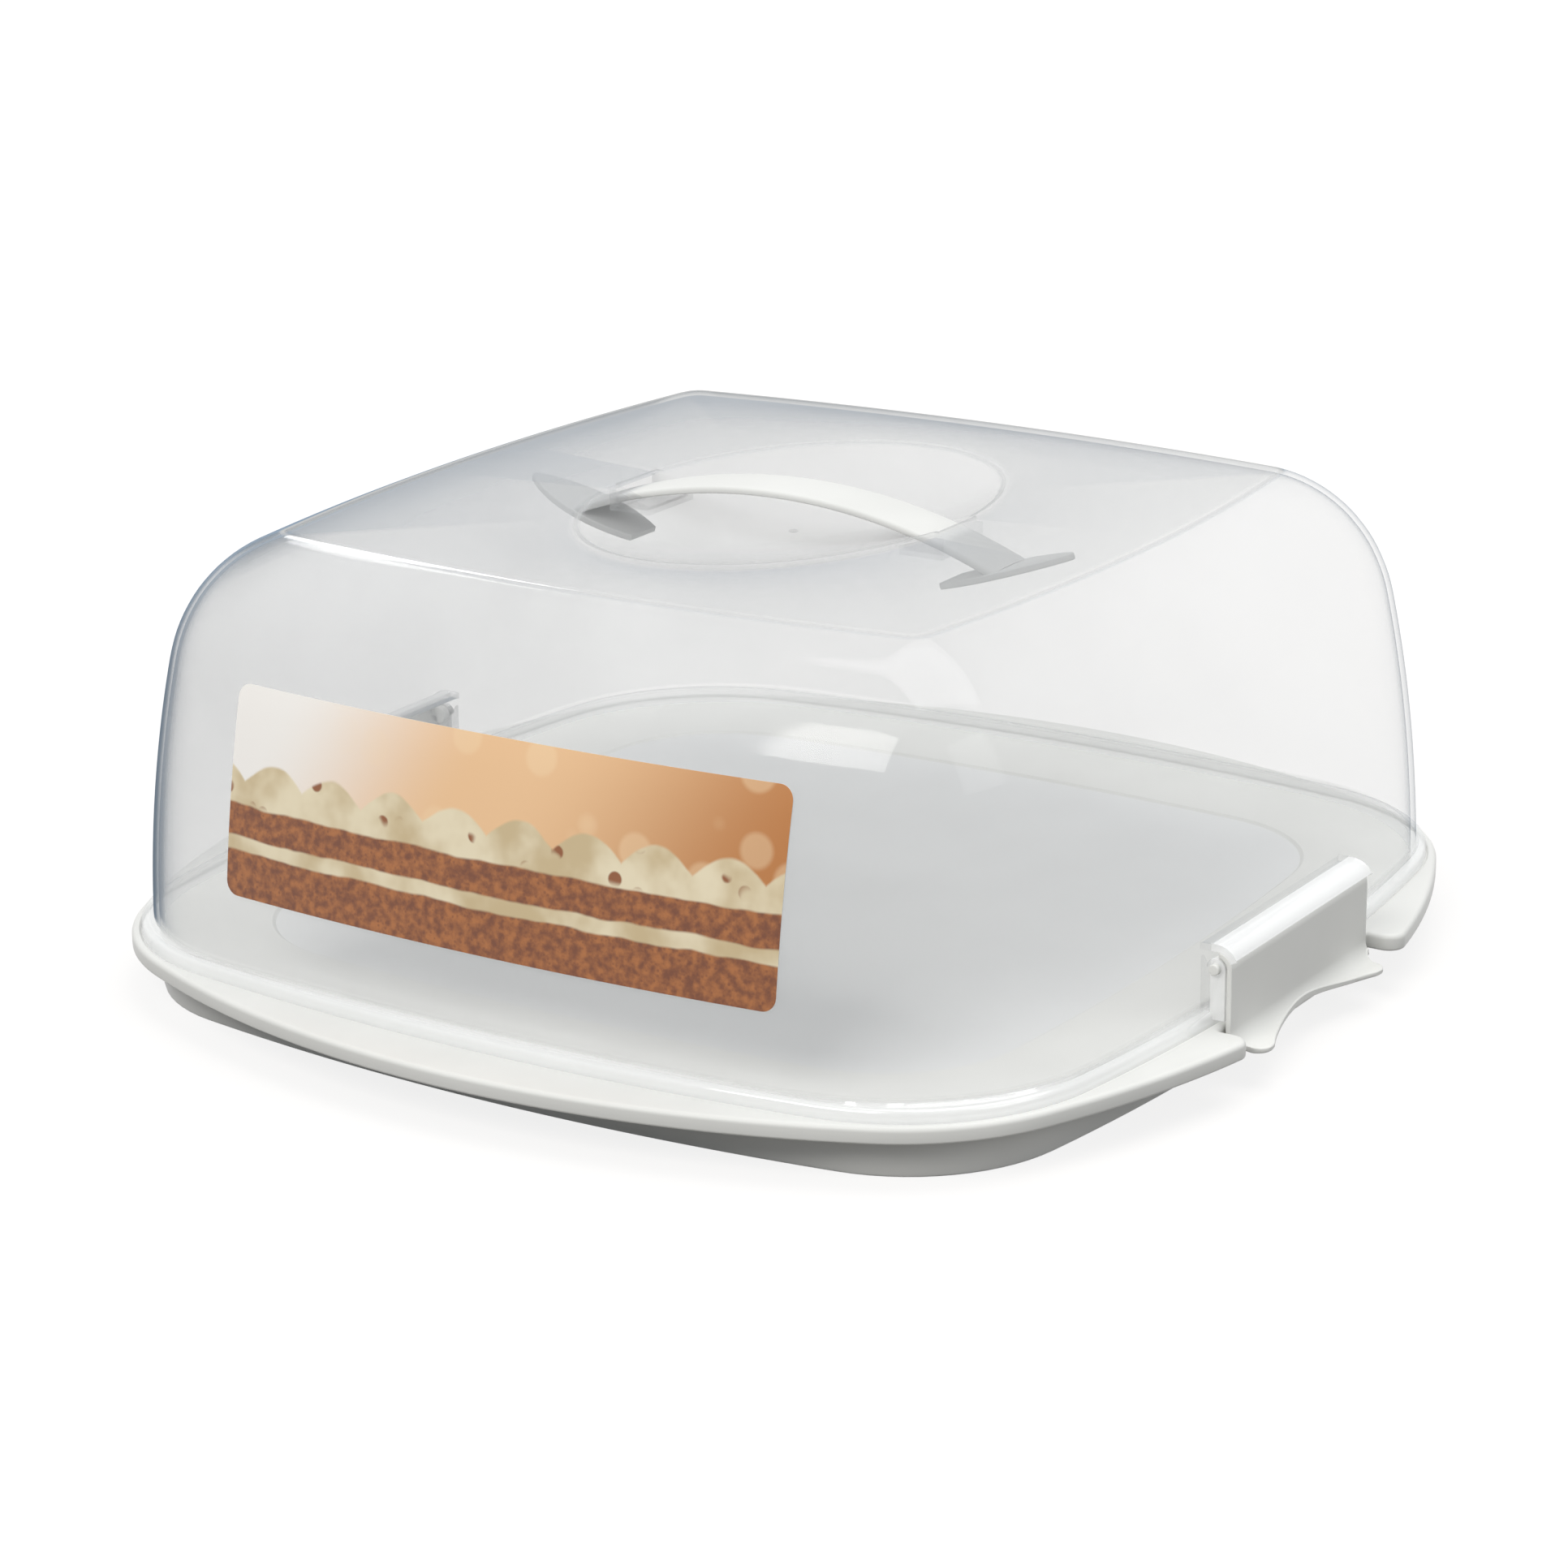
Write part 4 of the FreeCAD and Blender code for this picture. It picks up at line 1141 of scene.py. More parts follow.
@dataclass
class Lid:
    """The translucent lid, with its rim, handle well, strap slots and clip lugs."""

    dome: Dome
    clip: "ClipSizes"
    strap_half: float
    wall: float = 1.6 * MM
    rim_step: float = 2.8 * MM
    rim_bow: float = 14.9 * MM
    rim_corner: float = 59.7 * MM
    rim_height: float = 4.4 * MM
    rim_round: float = 1.4 * MM
    rim_low_round: float = 0.5 * MM
    rim_low_drop: float = 0.7
    rim_toe: float = 0.75
    rim_clear: float = 0.15 * MM
    rim_blend: float = 0.8 * MM
    crease_margin: float = 1.4 * MM
    well_half_x: float = 54.0 * MM
    well_half_y: float = 77.0 * MM
    well_depth: float = 9.4 * MM
    well_rise: float = 60.0 * MM
    well_round: float = 3.0 * MM
    well_slope: float = math.radians(17.5)
    well_middle: float = math.radians(88.5)
    well_steps: int = 16
    sleeve_length: float = 1.6 * MM
    sleeve_wall: float = 1.1 * MM
    slot_mouth: float = 11.0 * MM
    slot_side_gap: float = 0.9 * MM
    slot_floor: float = 6.82 * MM
    gate_radius: float = 1.4 * MM
    gate_height: float = 0.15 * MM
    gate_round: float = 0.1 * MM
    lug_bite: float = 1.4
    lug_proud: float = 0.3 * MM
    hood_round: float = 0.35 * MM
    cheek_round: float = 0.3 * MM

    @property
    def rim(self) -> BowedSquare:
        """The outline of the rim."""
        return BowedSquare(self.dome.wall_half + self.rim_step, self.rim_bow, self.rim_corner)

    def oval(self, half_x: float, half_y: float, height: float) -> Ring:
        """A ring on an ellipse, each point in the direction of a point of the crease.

        Args:
            half_x: Half width along X.
            half_y: Half width along Y.
            height: The ring's height.

        Returns:
            The ring.
        """
        crease = self.dome.level(self.dome.top).outline.outline()
        ring = []
        for station in crease.stations:
            ray = station.place.normalized()
            reach = 1 / math.hypot(ray.x / half_x, ray.y / half_y)
            ring.append(ray * reach + UP * height)
        return ring

    def well_rings(self, grow: float, start: float) -> list[Ring]:
        """Rings of the well from near its bottom up to a depth below the top.

        Args:
            grow: How far the surface lies outside the well's inner face.
            start: The depth of the last ring.

        Returns:
            The rings, from the bottom up.
        """
        spread = math.sqrt(1 - (self.well_rise / (self.well_rise + self.well_depth)) ** 2)
        reach = self.well_rise + self.well_depth + grow
        first = math.asin((self.well_rise + start) / reach)
        rings = []
        for angle in spaced(self.well_middle, first, self.well_steps):
            size = math.cos(angle)
            rings.append(self.oval((self.well_half_x / spread + grow) * size,
                                   (self.well_half_y / spread + grow) * size,
                                   self.dome.top + self.well_rise - reach * math.sin(angle)))
        return rings

    def well_edge(self, steps: int = 5) -> list[Ring]:
        """Rings of the rounded edge between the well and the top, from the well outwards.

        Args:
            steps: Steps in the rounding.

        Returns:
            The rings.
        """
        setback = self.well_round * math.tan(self.well_slope / 2)
        rings = []
        for angle in spaced(self.well_slope, 0.0, steps)[1:]:
            grow = setback - self.well_round * math.sin(angle)
            drop = self.well_round * (1 - math.cos(angle))
            rings.append(self.oval(self.well_half_x + grow, self.well_half_y + grow, self.dome.top - drop))
        return rings

    def rim_rings(self, steps: int = 5) -> list[Ring]:
        """Rings of the rim, from the wall's foot down to the seat.

        Args:
            steps: Steps in the upper rounding.

        Returns:
            The rings.
        """
        outline = self.rim.outline()
        top = self.dome.seat + self.rim_height
        rings = [outline.ring(top, self.rim_step * self.rim_toe)]
        rings += [outline.ring(top - drop, inset) for inset, drop in quarter_round(self.rim_round, steps)]
        bottom = self.dome.seat + self.rim_clear
        low = bottom + self.rim_low_round
        drop = self.rim_low_round * self.rim_low_drop
        rings.append(outline.ring(low))
        rings.append(outline.ring(low - drop, self.rim_low_round - drop))
        rings.append(outline.ring(bottom, self.rim_low_round))
        return rings

    def shell(self) -> bpy.types.Object:
        """The lid's wall as one closed shell, from the well's floor by the rim to the well's underside.

        Returns:
            The shell.
        """
        setback = self.well_round * (1 - math.cos(self.well_slope))
        rings = self.well_rings(0.0, setback) + self.well_edge()
        crease = self.dome.level(self.dome.top).outline.outline()
        rings.append(crease.ring(self.dome.top, self.crease_margin))
        rim_top = self.dome.seat + self.rim_height
        rings += [level.ring(0.0) for level in reversed(self.dome.levels(rim_top + self.rim_blend))]
        rings += self.rim_rings()
        inner = [level.ring(self.wall) for level in self.dome.levels(self.dome.seat)]
        for place in inner[0]:
            place.z = self.dome.seat + self.rim_clear
        rings += inner
        rings += self.well_rings(self.wall, self.wall)[::-1]
        return loft("lid_shell", rings)

    def slots(self, shell: bpy.types.Object) -> None:
        """Open a slot, with a short sleeve, at each end of the strap.

        Args:
            shell: The shell that is opened.
        """
        start = self.well_half_x - self.slot_mouth
        reach = self.well_half_x + self.sleeve_length
        half = self.strap_half + self.slot_side_gap
        floor = self.dome.top - self.slot_floor
        roof = self.dome.top - self.wall
        above = self.dome.top + self.well_depth
        margin = Vector((1, 1, 1)) * self.sleeve_wall
        sleeve = block("sleeve", Vector((start, -half, floor)) - margin,
                       Vector((reach, half + self.sleeve_wall, roof + self.wall / 2)))
        combine(sleeve, loft("hollow", self.well_rings(self.wall / 3, -self.well_rise / 2)), Combine.CUT)
        beyond = reach + self.slot_mouth
        profile = ((start, floor), (beyond, floor), (beyond, roof), (self.well_half_x, roof),
                   (self.well_half_x, above), (start, above))
        opening = loft("opening", [[Vector((x, y, z)) for x, z in profile] for y in (-half, half)])
        for tool, how in ((sleeve, Combine.JOIN), (opening, Combine.CUT)):
            left = mirrored(f"{tool.name}_left", tool)
            combine(shell, tool, how)
            combine(shell, left, how)

    def hood(self, root: float) -> bpy.types.Object:
        """The hood over the clip on the +X wall.

        Args:
            root: X at which the lug starts, inside the wall.

        Returns:
            The hood.
        """
        clip = self.clip
        inner = clip.curl_radius + clip.gap
        outer = inner + clip.hood_wall
        profile = [clip.about_pin(inner, angle) for angle in spaced(clip.hood_edge, SQUARE, 10)]
        profile += [Vector((root, 0, clip.pin_z + radius)) for radius in (inner, outer)]
        profile += [clip.about_pin(outer, angle) for angle in spaced(SQUARE, clip.hood_edge, 10)]
        base = [place - ACROSS * clip.half for place in profile[::-1]]
        return loft("hood", pillow(base, ACROSS * (2 * clip.half), self.hood_round, 2))

    def cheek(self, root: float, place: float) -> bpy.types.Object:
        """A cheek of the lug on the +X wall, with a hole for a pin.

        Args:
            root: X at which the lug starts, inside the wall.
            place: Y of the cheek's side towards -Y.

        Returns:
            The cheek.
        """
        clip = self.clip
        radius = clip.curl_radius - clip.wall - clip.gap
        foot = self.dome.seat + self.rim_height / 2
        outline = [clip.about_pin(radius, angle) for angle in spaced(0.0, 2 * SQUARE, 12)]
        outline += [Vector((root, 0, clip.pin_z + radius)), Vector((root, 0, foot)),
                    Vector((clip.pin_x + radius, 0, foot))]
        base = [corner + ACROSS * place for corner in outline[::-1]]
        reach = ACROSS * clip.cheek_wall
        cheek = loft("cheek", pillow(base, reach, self.cheek_round, 2))
        pin = Vector((clip.pin_x, place, clip.pin_z))
        hole = rod("hole", clip.pin_radius + clip.pin_gap, pin - reach, pin + reach * 2, 0.0)
        combine(cheek, hole, Combine.CUT)
        return cheek

    def lug(self) -> bpy.types.Object:
        """The lug on the +X wall: a hood over the clip and two cheeks with holes for its pins.

        Returns:
            The lug.
        """
        root = self.dome.wall_half - self.wall * self.lug_bite
        places = (-self.clip.half, self.clip.half - self.clip.cheek_wall)
        return join("lug", [self.hood(root), *(self.cheek(root, place) for place in places)])

    def gate(self) -> bpy.types.Object:
        """The small round mark that the mould's gate leaves on the well's floor."""
        outline = circle(self.gate_radius, self.dome.top - self.well_depth - self.gate_height, 32)
        return loft("gate", pillow(outline, UP * (2 * self.gate_height), self.gate_round, 2))

    def build(self) -> None:
        """Model the lid, dress it and put it on its body."""
        shell = self.shell()
        self.slots(shell)
        lug = self.lug()
        piece = join("lid_shape", [shell, lug, mirrored("lug_left", lug), self.gate()])
        smooth(piece)
        clear = TranslucentPlastic("natural_translucent", top=self.dome.top,
                                   rim_top=self.dome.seat + self.rim_height,
                                   lug_start=self.dome.wall_half + self.lug_proud,
                                   well_half_x=self.well_half_x, well_half_y=self.well_half_y)
        dress(piece, clear.material())
        finish(piece, "lid", "translucent_plastic", "lid")


@dataclass(frozen=True)
class ClipSizes:
    """Sizes of a side clip, as it lies on the +X side."""

    pin_x: float
    pin_z: float
    ledge_low: float
    half: float = 41.5 * MM
    wall: float = 1.5 * MM
    gap: float = 0.4 * MM
    curl_radius: float = 4.7 * MM
    curl_sweep: float = math.radians(80)
    pin_radius: float = 1.5 * MM
    pin_gap: float = 0.08 * MM
    pin_proud: float = 1.5 * MM
    cheek_wall: float = 1.8 * MM
    hood_wall: float = 1.4 * MM
    hood_edge: float = math.radians(28)
    knuckle_width: float = 3.0 * MM
    knuckle_radius: float = 2.6 * MM
    hook_gap: float = 0.3 * MM
    hook_inset: float = 3.5 * MM
    hook_reach: float = 3.7 * MM
    hook_root: float = 1.2 * MM
    hook_depth: float = 1.4 * MM
    lip_drop: float = 1.1 * MM
    lip_flare: float = 5.0 * MM
    lip_reach: float = 8.6 * MM
    lip_arch: float = 1.4 * MM
    lobe_radius: float = 8.4 * MM
    lobe_tip_round: float = 4.0 * MM
    lobe_fillet: float = 3.5 * MM
    end_round: float = 0.35 * MM

    @property
    def plate_out(self) -> float:
        """Where the plate's outer face is."""
        return self.pin_x + self.curl_radius

    @property
    def plate_in(self) -> float:
        """Where the plate's inner face is."""
        return self.plate_out - self.wall

    @property
    def lip_top(self) -> float:
        """Height of the lip's upper face."""
        return self.ledge_low - self.lip_drop

    def about_pin(self, radius: float, angle: float) -> Vector:
        """A point round the pin, at an angle up from +X."""
        return Vector((self.pin_x + radius * math.cos(angle), 0, self.pin_z + radius * math.sin(angle)))

    def lip_stations(self, steps: int = 12) -> list[tuple[float, float]]:
        """The lip's edge from end to end: an arch, with a lobe and a fillet behind it at each end.

        Args:
            steps: Steps in each arc.

        Returns:
            Places along Y, each with how far out the lip reaches there.
        """
        lobe_x = self.plate_out + self.lip_reach - self.lobe_radius
        lobe_y = self.half - self.lobe_fillet - self.lobe_tip_round
        tip_x = self.plate_out + self.lip_reach - self.lobe_tip_round
        arch_x = self.plate_out + self.lip_arch
        inset = arch_x - lobe_x
        arch_radius = (inset ** 2 + lobe_y ** 2 - self.lobe_radius ** 2) / (2 * (self.lobe_radius - inset))
        turn = math.asin(lobe_y / (arch_radius + self.lobe_radius))
        last = math.acos(self.end_round / self.lobe_fillet)
        stations = [(arch_radius * math.sin(angle), arch_x + arch_radius * (1 - math.cos(angle)))
                    for angle in spaced(0.0, turn, steps)[:-1]]
        for x, radius, start, end in ((lobe_x, self.lobe_radius, -turn, 0.0),
                                      (tip_x, self.lobe_tip_round, 0.0, SQUARE)):
            stations += [(lobe_y + radius * math.sin(angle), x + radius * math.cos(angle))
                         for angle in spaced(start, end, steps)[:-1]]
        fillet = self.lobe_fillet
        stations += [(self.half - fillet * math.cos(angle), tip_x - fillet * math.sin(angle))
                     for angle in spaced(0.0, last, steps)[1:]]
        return [(-place, reach) for place, reach in stations[:0:-1]] + stations


@dataclass
class Clip:
    """A side clip: a plate with a curl and pins at its top, and a hook and a waved lip at its foot."""

    sizes: ClipSizes
    lip_round: float = 0.5 * MM
    hook_round: float = 0.4 * MM
    knuckle_round: float = 0.3 * MM
    steps: int = 12

    def flare(self, radius: float, tip: float) -> Ring:
        """Points on the flare from the plate down to where the lip's edge starts.

        Args:
            radius: Radius of the flare's face, whose centre lies outside the plate.
            tip: X at which the face ends.

        Returns:
            The points, from the plate outwards.
        """
        sizes = self.sizes
        centre = Vector((sizes.plate_out + sizes.lip_flare, 0, sizes.lip_top + sizes.lip_flare))
        sweep = math.acos(max((centre.x - tip) / radius, 0.0))
        face = [centre - Vector((math.cos(angle), 0, math.sin(angle))) * radius
                for angle in spaced(0.0, sweep, self.steps)]
        return face + [Vector((tip, 0, face[-1].z))]

    def profile(self, place: float, reach: float) -> Ring:
        """The clip's section at a place along Y, where its lip reaches out to an X.

        Args:
            place: Y of the section.
            reach: X of the lip's edge there.

        Returns:
            The section's ring.
        """
        sizes = self.sizes
        sweep = spaced(0.0, sizes.curl_sweep, self.steps)
        curl_in = sizes.curl_radius - sizes.wall
        ring = [sizes.about_pin(sizes.curl_radius, angle) for angle in sweep]
        ring += [sizes.about_pin(curl_in, angle) for angle in sweep[::-1]]
        edge = self.lip_round
        under = self.flare(sizes.lip_flare + sizes.wall, reach - edge)
        over = self.flare(sizes.lip_flare, reach - edge)
        ring += under
        rounding = quarter_round(edge, 4)[1:-1]
        ring += [under[-1] + Vector((edge - back, 0, rise)) for back, rise in rounding]
        ring += [over[-1] + Vector((edge - back, 0, -drop)) for drop, back in rounding]
        ring += over[::-1]
        return [corner + Vector((0, place, 0)) for corner in ring]

    def plate(self) -> bpy.types.Object:
        """The plate with its curl and waved lip, with rounded ends.

        Returns:
            The plate.
        """
        rings = [self.profile(place, reach) for place, reach in self.sizes.lip_stations()]
        first, last = [], []
        for back, inset in quarter_round(self.sizes.end_round, 3)[1:]:
            shift = ACROSS * (self.sizes.end_round - back)
            first.append([place - shift for place in set_in(rings[0], inset, -ACROSS)])
            last.append([place + shift for place in set_in(rings[-1], inset, -ACROSS)])
        return loft("plate", first[::-1] + rings + last)

    def fittings(self) -> list[bpy.types.Object]:
        """The hook under the plate, and the knuckles that hold the pins.

        Returns:
            The hook, and for each end of the clip an arm, a knuckle and a pin.
        """
        sizes = self.sizes
        hook_half = sizes.half - sizes.hook_inset
        hook_top = sizes.ledge_low - sizes.hook_gap
        low = Vector((sizes.plate_in - sizes.hook_reach, -hook_half, hook_top - sizes.hook_depth))
        high = Vector((sizes.plate_out + sizes.hook_root, hook_half, hook_top))
        pieces = [block("hook", low, high, self.hook_round)]
        inside = sizes.plate_in + sizes.wall / 2
        outer = sizes.half - sizes.cheek_wall - sizes.gap
        pin_end = sizes.half + sizes.pin_proud
        for sign in (-1, 1):
            ends = sorted((sign * (outer - sizes.knuckle_width), sign * outer))
            pin_ends = sorted((sign * (outer - sizes.knuckle_width / 2), sign * pin_end))
            low = Vector((sizes.pin_x, ends[0], sizes.pin_z - sizes.knuckle_radius))
            high = Vector((inside, ends[1], sizes.pin_z))
            pieces.append(block("arm", low, high, self.knuckle_round))
            for name, radius, span in (("knuckle", sizes.knuckle_radius, ends),
                                       ("pin", sizes.pin_radius, pin_ends)):
                start, end = (Vector((sizes.pin_x, place, sizes.pin_z)) for place in span)
                pieces.append(rod(name, radius, start, end, self.knuckle_round))
        return pieces

    def build(self) -> None:
        """Model the clip, mirror it, dress both and put them on their bodies."""
        right = join("clip_right_shape", [self.plate(), *self.fittings()])
        left = mirrored("clip_left_shape", right)
        material = WHITE.material()
        for piece, node in ((right, "clip_right"), (left, "clip_left")):
            smooth(piece)
            dress(piece, material)
            finish(piece, node, "white_plastic", node)


@dataclass
class Handle:
    """The strap handle, with an anchor leaf across each end."""

    crown: float
    leaf_place: float = 71.0 * MM
    half: float = 9.4 * MM
    radius: float = 186.0 * MM
    depth: float = 2.4 * MM
    camber: float = 0.35 * MM
    top_round: float = 1.3 * MM
    low_round: float = 0.5 * MM
    leaf_half: float = 20.0 * MM
    leaf_end_half: float = 6.2 * MM
    leaf_tip_half: float = 1.6 * MM
    leaf_side_bulge: float = 5.8 * MM
    leaf_tip_bulge: float = 0.8 * MM
    leaf_depth: float = 2.0 * MM
    leaf_tilt: float = math.radians(18)
    leaf_round: float = 0.45 * MM
    steps: int = 48

    @property
    def centre(self) -> float:
        """Height of the centre of the strap's bow."""
        return self.crown - self.radius

    def section(self, steps: int = 6) -> list[tuple[float, float]]:
        """The strap's section, with a domed upper face.

        Args:
            steps: Steps in half the dome and in each corner.

        Returns:
            Places across the strap, each with a depth below its crown.
        """
        flat = self.half - self.top_round
        side = [(flat * share, self.camber * share ** 2) for share in spaced(0.0, 1.0, steps)[:-1]]
        for radius, depth, start in ((self.top_round, self.camber + self.top_round, SQUARE),
                                     (self.low_round, self.depth - self.low_round, 0.0)):
            side += [(self.half - radius + radius * math.cos(angle), depth - radius * math.sin(angle))
                     for angle in spaced(start, start - SQUARE, steps)]
        return side + [(-across, depth) for across, depth in side[:0:-1]]

    def strap(self) -> bpy.types.Object:
        """The bowed strap.

        Returns:
            The strap.
        """
        section = self.section()
        reach = math.asin(self.leaf_place / self.radius)
        rings = []
        for angle in spaced(-reach, reach, self.steps):
            rings.append([Vector(((self.radius - low) * math.sin(angle), across,
                                  self.centre + (self.radius - low) * math.cos(angle)))
                          for across, low in section])
        return loft("strap", rings)

    def bulged(self, start: Vector, end: Vector, bulge: float, steps: int) -> Ring:
        """Points on an arc that bulges out to the right of its chord, the last left out.

        Args:
            start: Where the arc starts.
            end: Where it ends.
            bulge: How far it stands out from its chord.
            steps: How many points there are.

        Returns:
            The points in order.
        """
        chord = end - start
        radius = ((chord.length / 2) ** 2 + bulge ** 2) / (2 * bulge)
        left = UP.cross(chord).normalized()
        centre = (start + end) / 2 + left * (radius - bulge)
        sweep = 2 * math.asin(chord.length / 2 / radius)
        return [centre + Matrix.Rotation(angle, 3, "Z") @ (start - centre)
                for angle in spaced(0.0, sweep, steps)[:-1]]

    def leaf(self) -> bpy.types.Object:
        """The anchor leaf on the +X end of the strap.

        Returns:
            The leaf.
        """
        blunt = [Vector((-self.leaf_half, sign * self.leaf_end_half, 0)) for sign in (-1, 1)]
        tip = [Vector((self.leaf_half, sign * self.leaf_tip_half, 0)) for sign in (-1, 1)]
        outline = self.bulged(blunt[0], tip[0], self.leaf_side_bulge, 20)
        outline += self.bulged(tip[0], tip[1], self.leaf_tip_bulge, 6)
        outline += self.bulged(tip[1], blunt[1], self.leaf_side_bulge, 20) + [blunt[1]]
        base = [place - UP * (self.leaf_depth / 2) for place in outline]
        piece = loft("leaf", pillow(base, UP * self.leaf_depth, self.leaf_round))
        middle = self.radius - self.depth / 2
        height = self.centre + math.sqrt(middle ** 2 - self.leaf_place ** 2)
        tilt = Matrix.Rotation(-self.leaf_tilt, 4, "Y")
        piece.data.transform(Matrix.Translation((self.leaf_place, 0, height)) @ tilt)
        return piece

    def build(self) -> None:
        """Model the handle, dress it and put it on its body."""
        leaf = self.leaf()
        piece = join("handle_shape", [self.strap(), leaf, mirrored("leaf_left", leaf)])
        smooth(piece)
        # The strap and its leaves get darker copies of the white plastic: painted shade, deepest on the
        # leaves.
        dress(piece, SHADED_STRAP_WHITE.material(), SHADED_LEAF_WHITE.material())
        for face in piece.data.polygons:
            face.material_index = 1 if abs(face.center.x) > self.leaf_place - self.leaf_half else 0
        finish(piece, "handle", "white_plastic", "handle")


@dataclass
class Tray:
    """The reversible tray: a floor, a seat for the lid, a notched flange, a foot and cup rings."""

    seat: float
    rim: BowedSquare
    top: float
    notch_half: float
    flange_half: float
    flange_bow: float = 36.6 * MM
    flange_corner: float = 65.5 * MM
    flange_depth: float = 4.8 * MM
    top_round: float = 1.5 * MM
    low_round: float = 0.8 * MM
    edge_break: float = 0.2 * MM
    wall: float = 2.0 * MM
    seat_gap: float = 0.5 * MM
    seat_round: float = 0.3 * MM
    ledge_lip: float = 1.2 * MM
    notch_gap: float = 1.5 * MM
    notch_round: float = 5.0 * MM
    notch_root: float = 1.5 * MM
    foot_inset: float = 6.3 * MM
    foot_bow: float = 14.6 * MM
    foot_corner: float = 48.7 * MM
    foot_draft: float = 1.6 * MM
    foot_round: float = 0.7 * MM
    foot_ease: float = 0.1
    foot_ease_height: float = 1.5 * MM
    ring_columns: int = 4
    ring_rows: int = 3
    ring_radius: float = 31.0 * MM
    ring_gap_x: float = 6.0 * MM
    ring_gap_y: float = 24.0 * MM
    ring_wall: float = 1.6 * MM
    ring_break: float = 0.3
    ring_height: float = 3.0 * MM
    panel_half: float = 123.7 * MM
    panel_bow: float = 7.0 * MM
    panel_corner: float = 42.0 * MM
    panel_depth: float = 0.7 * MM
    panel_round: float = 0.5 * MM
    panel_band: float = 2.0 * MM
    seat_band: float = 4.0 * MM

    @property
    def sheet_low(self) -> float:
        """Height of the floor's underside."""
        return self.seat - self.wall

    def flange(self) -> Outline:
        """The flange's outline, with a notch for a clip on each side.

        Returns:
            The outline.
        """
        form = BowedSquare(self.flange_half, self.flange_bow, self.flange_corner,
                           side_steps=30, corner_steps=24)
        ledge = self.rim.half + self.seat_gap + self.ledge_lip
        root, nose = self.notch_root, self.notch_round
        straight = self.notch_half - root
        run = [Station(Vector((ledge, y, 0)), Vector((1, 0, 0))) for y in spaced(0.0, straight, 8)[:-1]]
        run += arc(Vector((ledge + root, straight, 0)), root, 2 * SQUARE, SQUARE, 8, hollow=True)
        nose_y = self.notch_half + nose
        nose_x = math.sqrt((form.side_radius - nose) ** 2 - nose_y ** 2) - form.back
        run += [Station(Vector((x, self.notch_half, 0)), -ACROSS)
                for x in spaced(ledge + root, nose_x, 4)[:-1]]
        turn = math.atan2(nose_y, nose_x + form.back)
        run += arc(Vector((nose_x, nose_y, 0)), nose, -SQUARE, turn, 14)
        run += arc(Vector((-form.back, 0, 0)), form.side_radius, turn, form.swing, 16)
        return Outline(run + form.corner_onward())

    def foot(self, wider: float) -> Outline:
        """The foot's outline, wider by a length."""
        half = self.rim.half - self.foot_inset + wider
        return BowedSquare(half, self.foot_bow, self.foot_corner).outline()

    def edge_rings(self) -> list[Ring]:
        """Rings of the flange, from its top inwards edge over its rim to its underside.

        Returns:
            The rings.
        """
        outline = self.flange()
        bottom = self.top - self.flange_depth
        rings = [outline.ring(self.top - drop, inset) for inset, drop in quarter_round(self.top_round, 6)]
        rings += [outline.ring(bottom + rise, inset) for rise, inset in quarter_round(self.low_round, 4)]
        rings.append(outline.ring(bottom, self.wall - self.edge_break))
        rings.append(outline.ring(bottom + self.edge_break, self.wall))
        rings.append(outline.ring(self.sheet_low, self.wall))
        return rings

    def floor_rings(self) -> list[Ring]:
        """Rings of the floor, from its sunk panel to the upper edge of the lid's seat.

        Returns:
            The rings.
        """
        panel = BowedSquare(self.panel_half, self.panel_bow, self.panel_corner).outline()
        slope = self.panel_depth + self.panel_round
        sunk = self.seat - self.panel_depth
        rings = [panel.ring(sunk, inset) for inset in (slope + self.panel_band, slope)]
        for angle in spaced(SQUARE / 2, 0.0, 4):
            rings.append(panel.ring(self.seat - self.panel_round * (1 - math.cos(angle)),
                                    self.panel_round * math.sin(angle)))
        outline = self.rim.outline()
        rings.append(outline.ring(self.seat, self.seat_band))
        rings.append(outline.ring(self.seat, self.seat_round - self.seat_gap))
        rings.append(outline.ring(self.seat + self.seat_round, -self.seat_gap))
        rings.append(outline.ring(self.top - self.seat_round, -self.seat_gap))
        rings.append(outline.ring(self.top, -self.seat_gap - self.seat_round))
        return rings

    def foot_rings(self) -> list[Ring]:
        """Rings of the foot, from the floor's underside round its lower edge and back up inside.

        Returns:
            The rings.
        """
        wide, narrow = self.foot(self.foot_draft), self.foot(0.0)
        rings = [wide.ring(self.sheet_low)]
        rings.append(self.foot(self.foot_draft * self.foot_ease).ring(self.foot_ease_height))
        rounding = quarter_round(self.foot_round, 3)
        rings += [narrow.ring(rise, inset) for rise, inset in rounding]
        rings += [narrow.ring(rise, self.wall - inset) for inset, rise in rounding]
        rings.append(wide.ring(self.sheet_low, self.wall))
        return rings

    def sheet(self) -> bpy.types.Object:
        """The floor, flange and foot as one closed sheet.

        Returns:
            The sheet.
        """
        floor = loft("floor", self.floor_rings())
        edge = loft("edge", self.edge_rings())
        foot = loft("foot", self.foot_rings()[::-1])
        for piece, number in ((floor, -1), (edge, 0), (edge, -1), (foot, -1)):
            self.open_cap(piece, number)
        piece = join("tray_sheet", [floor, edge, foot])
        for height in (self.top, self.sheet_low):
            self.fill_between(piece, height)
        face_outwards(piece)
        return piece

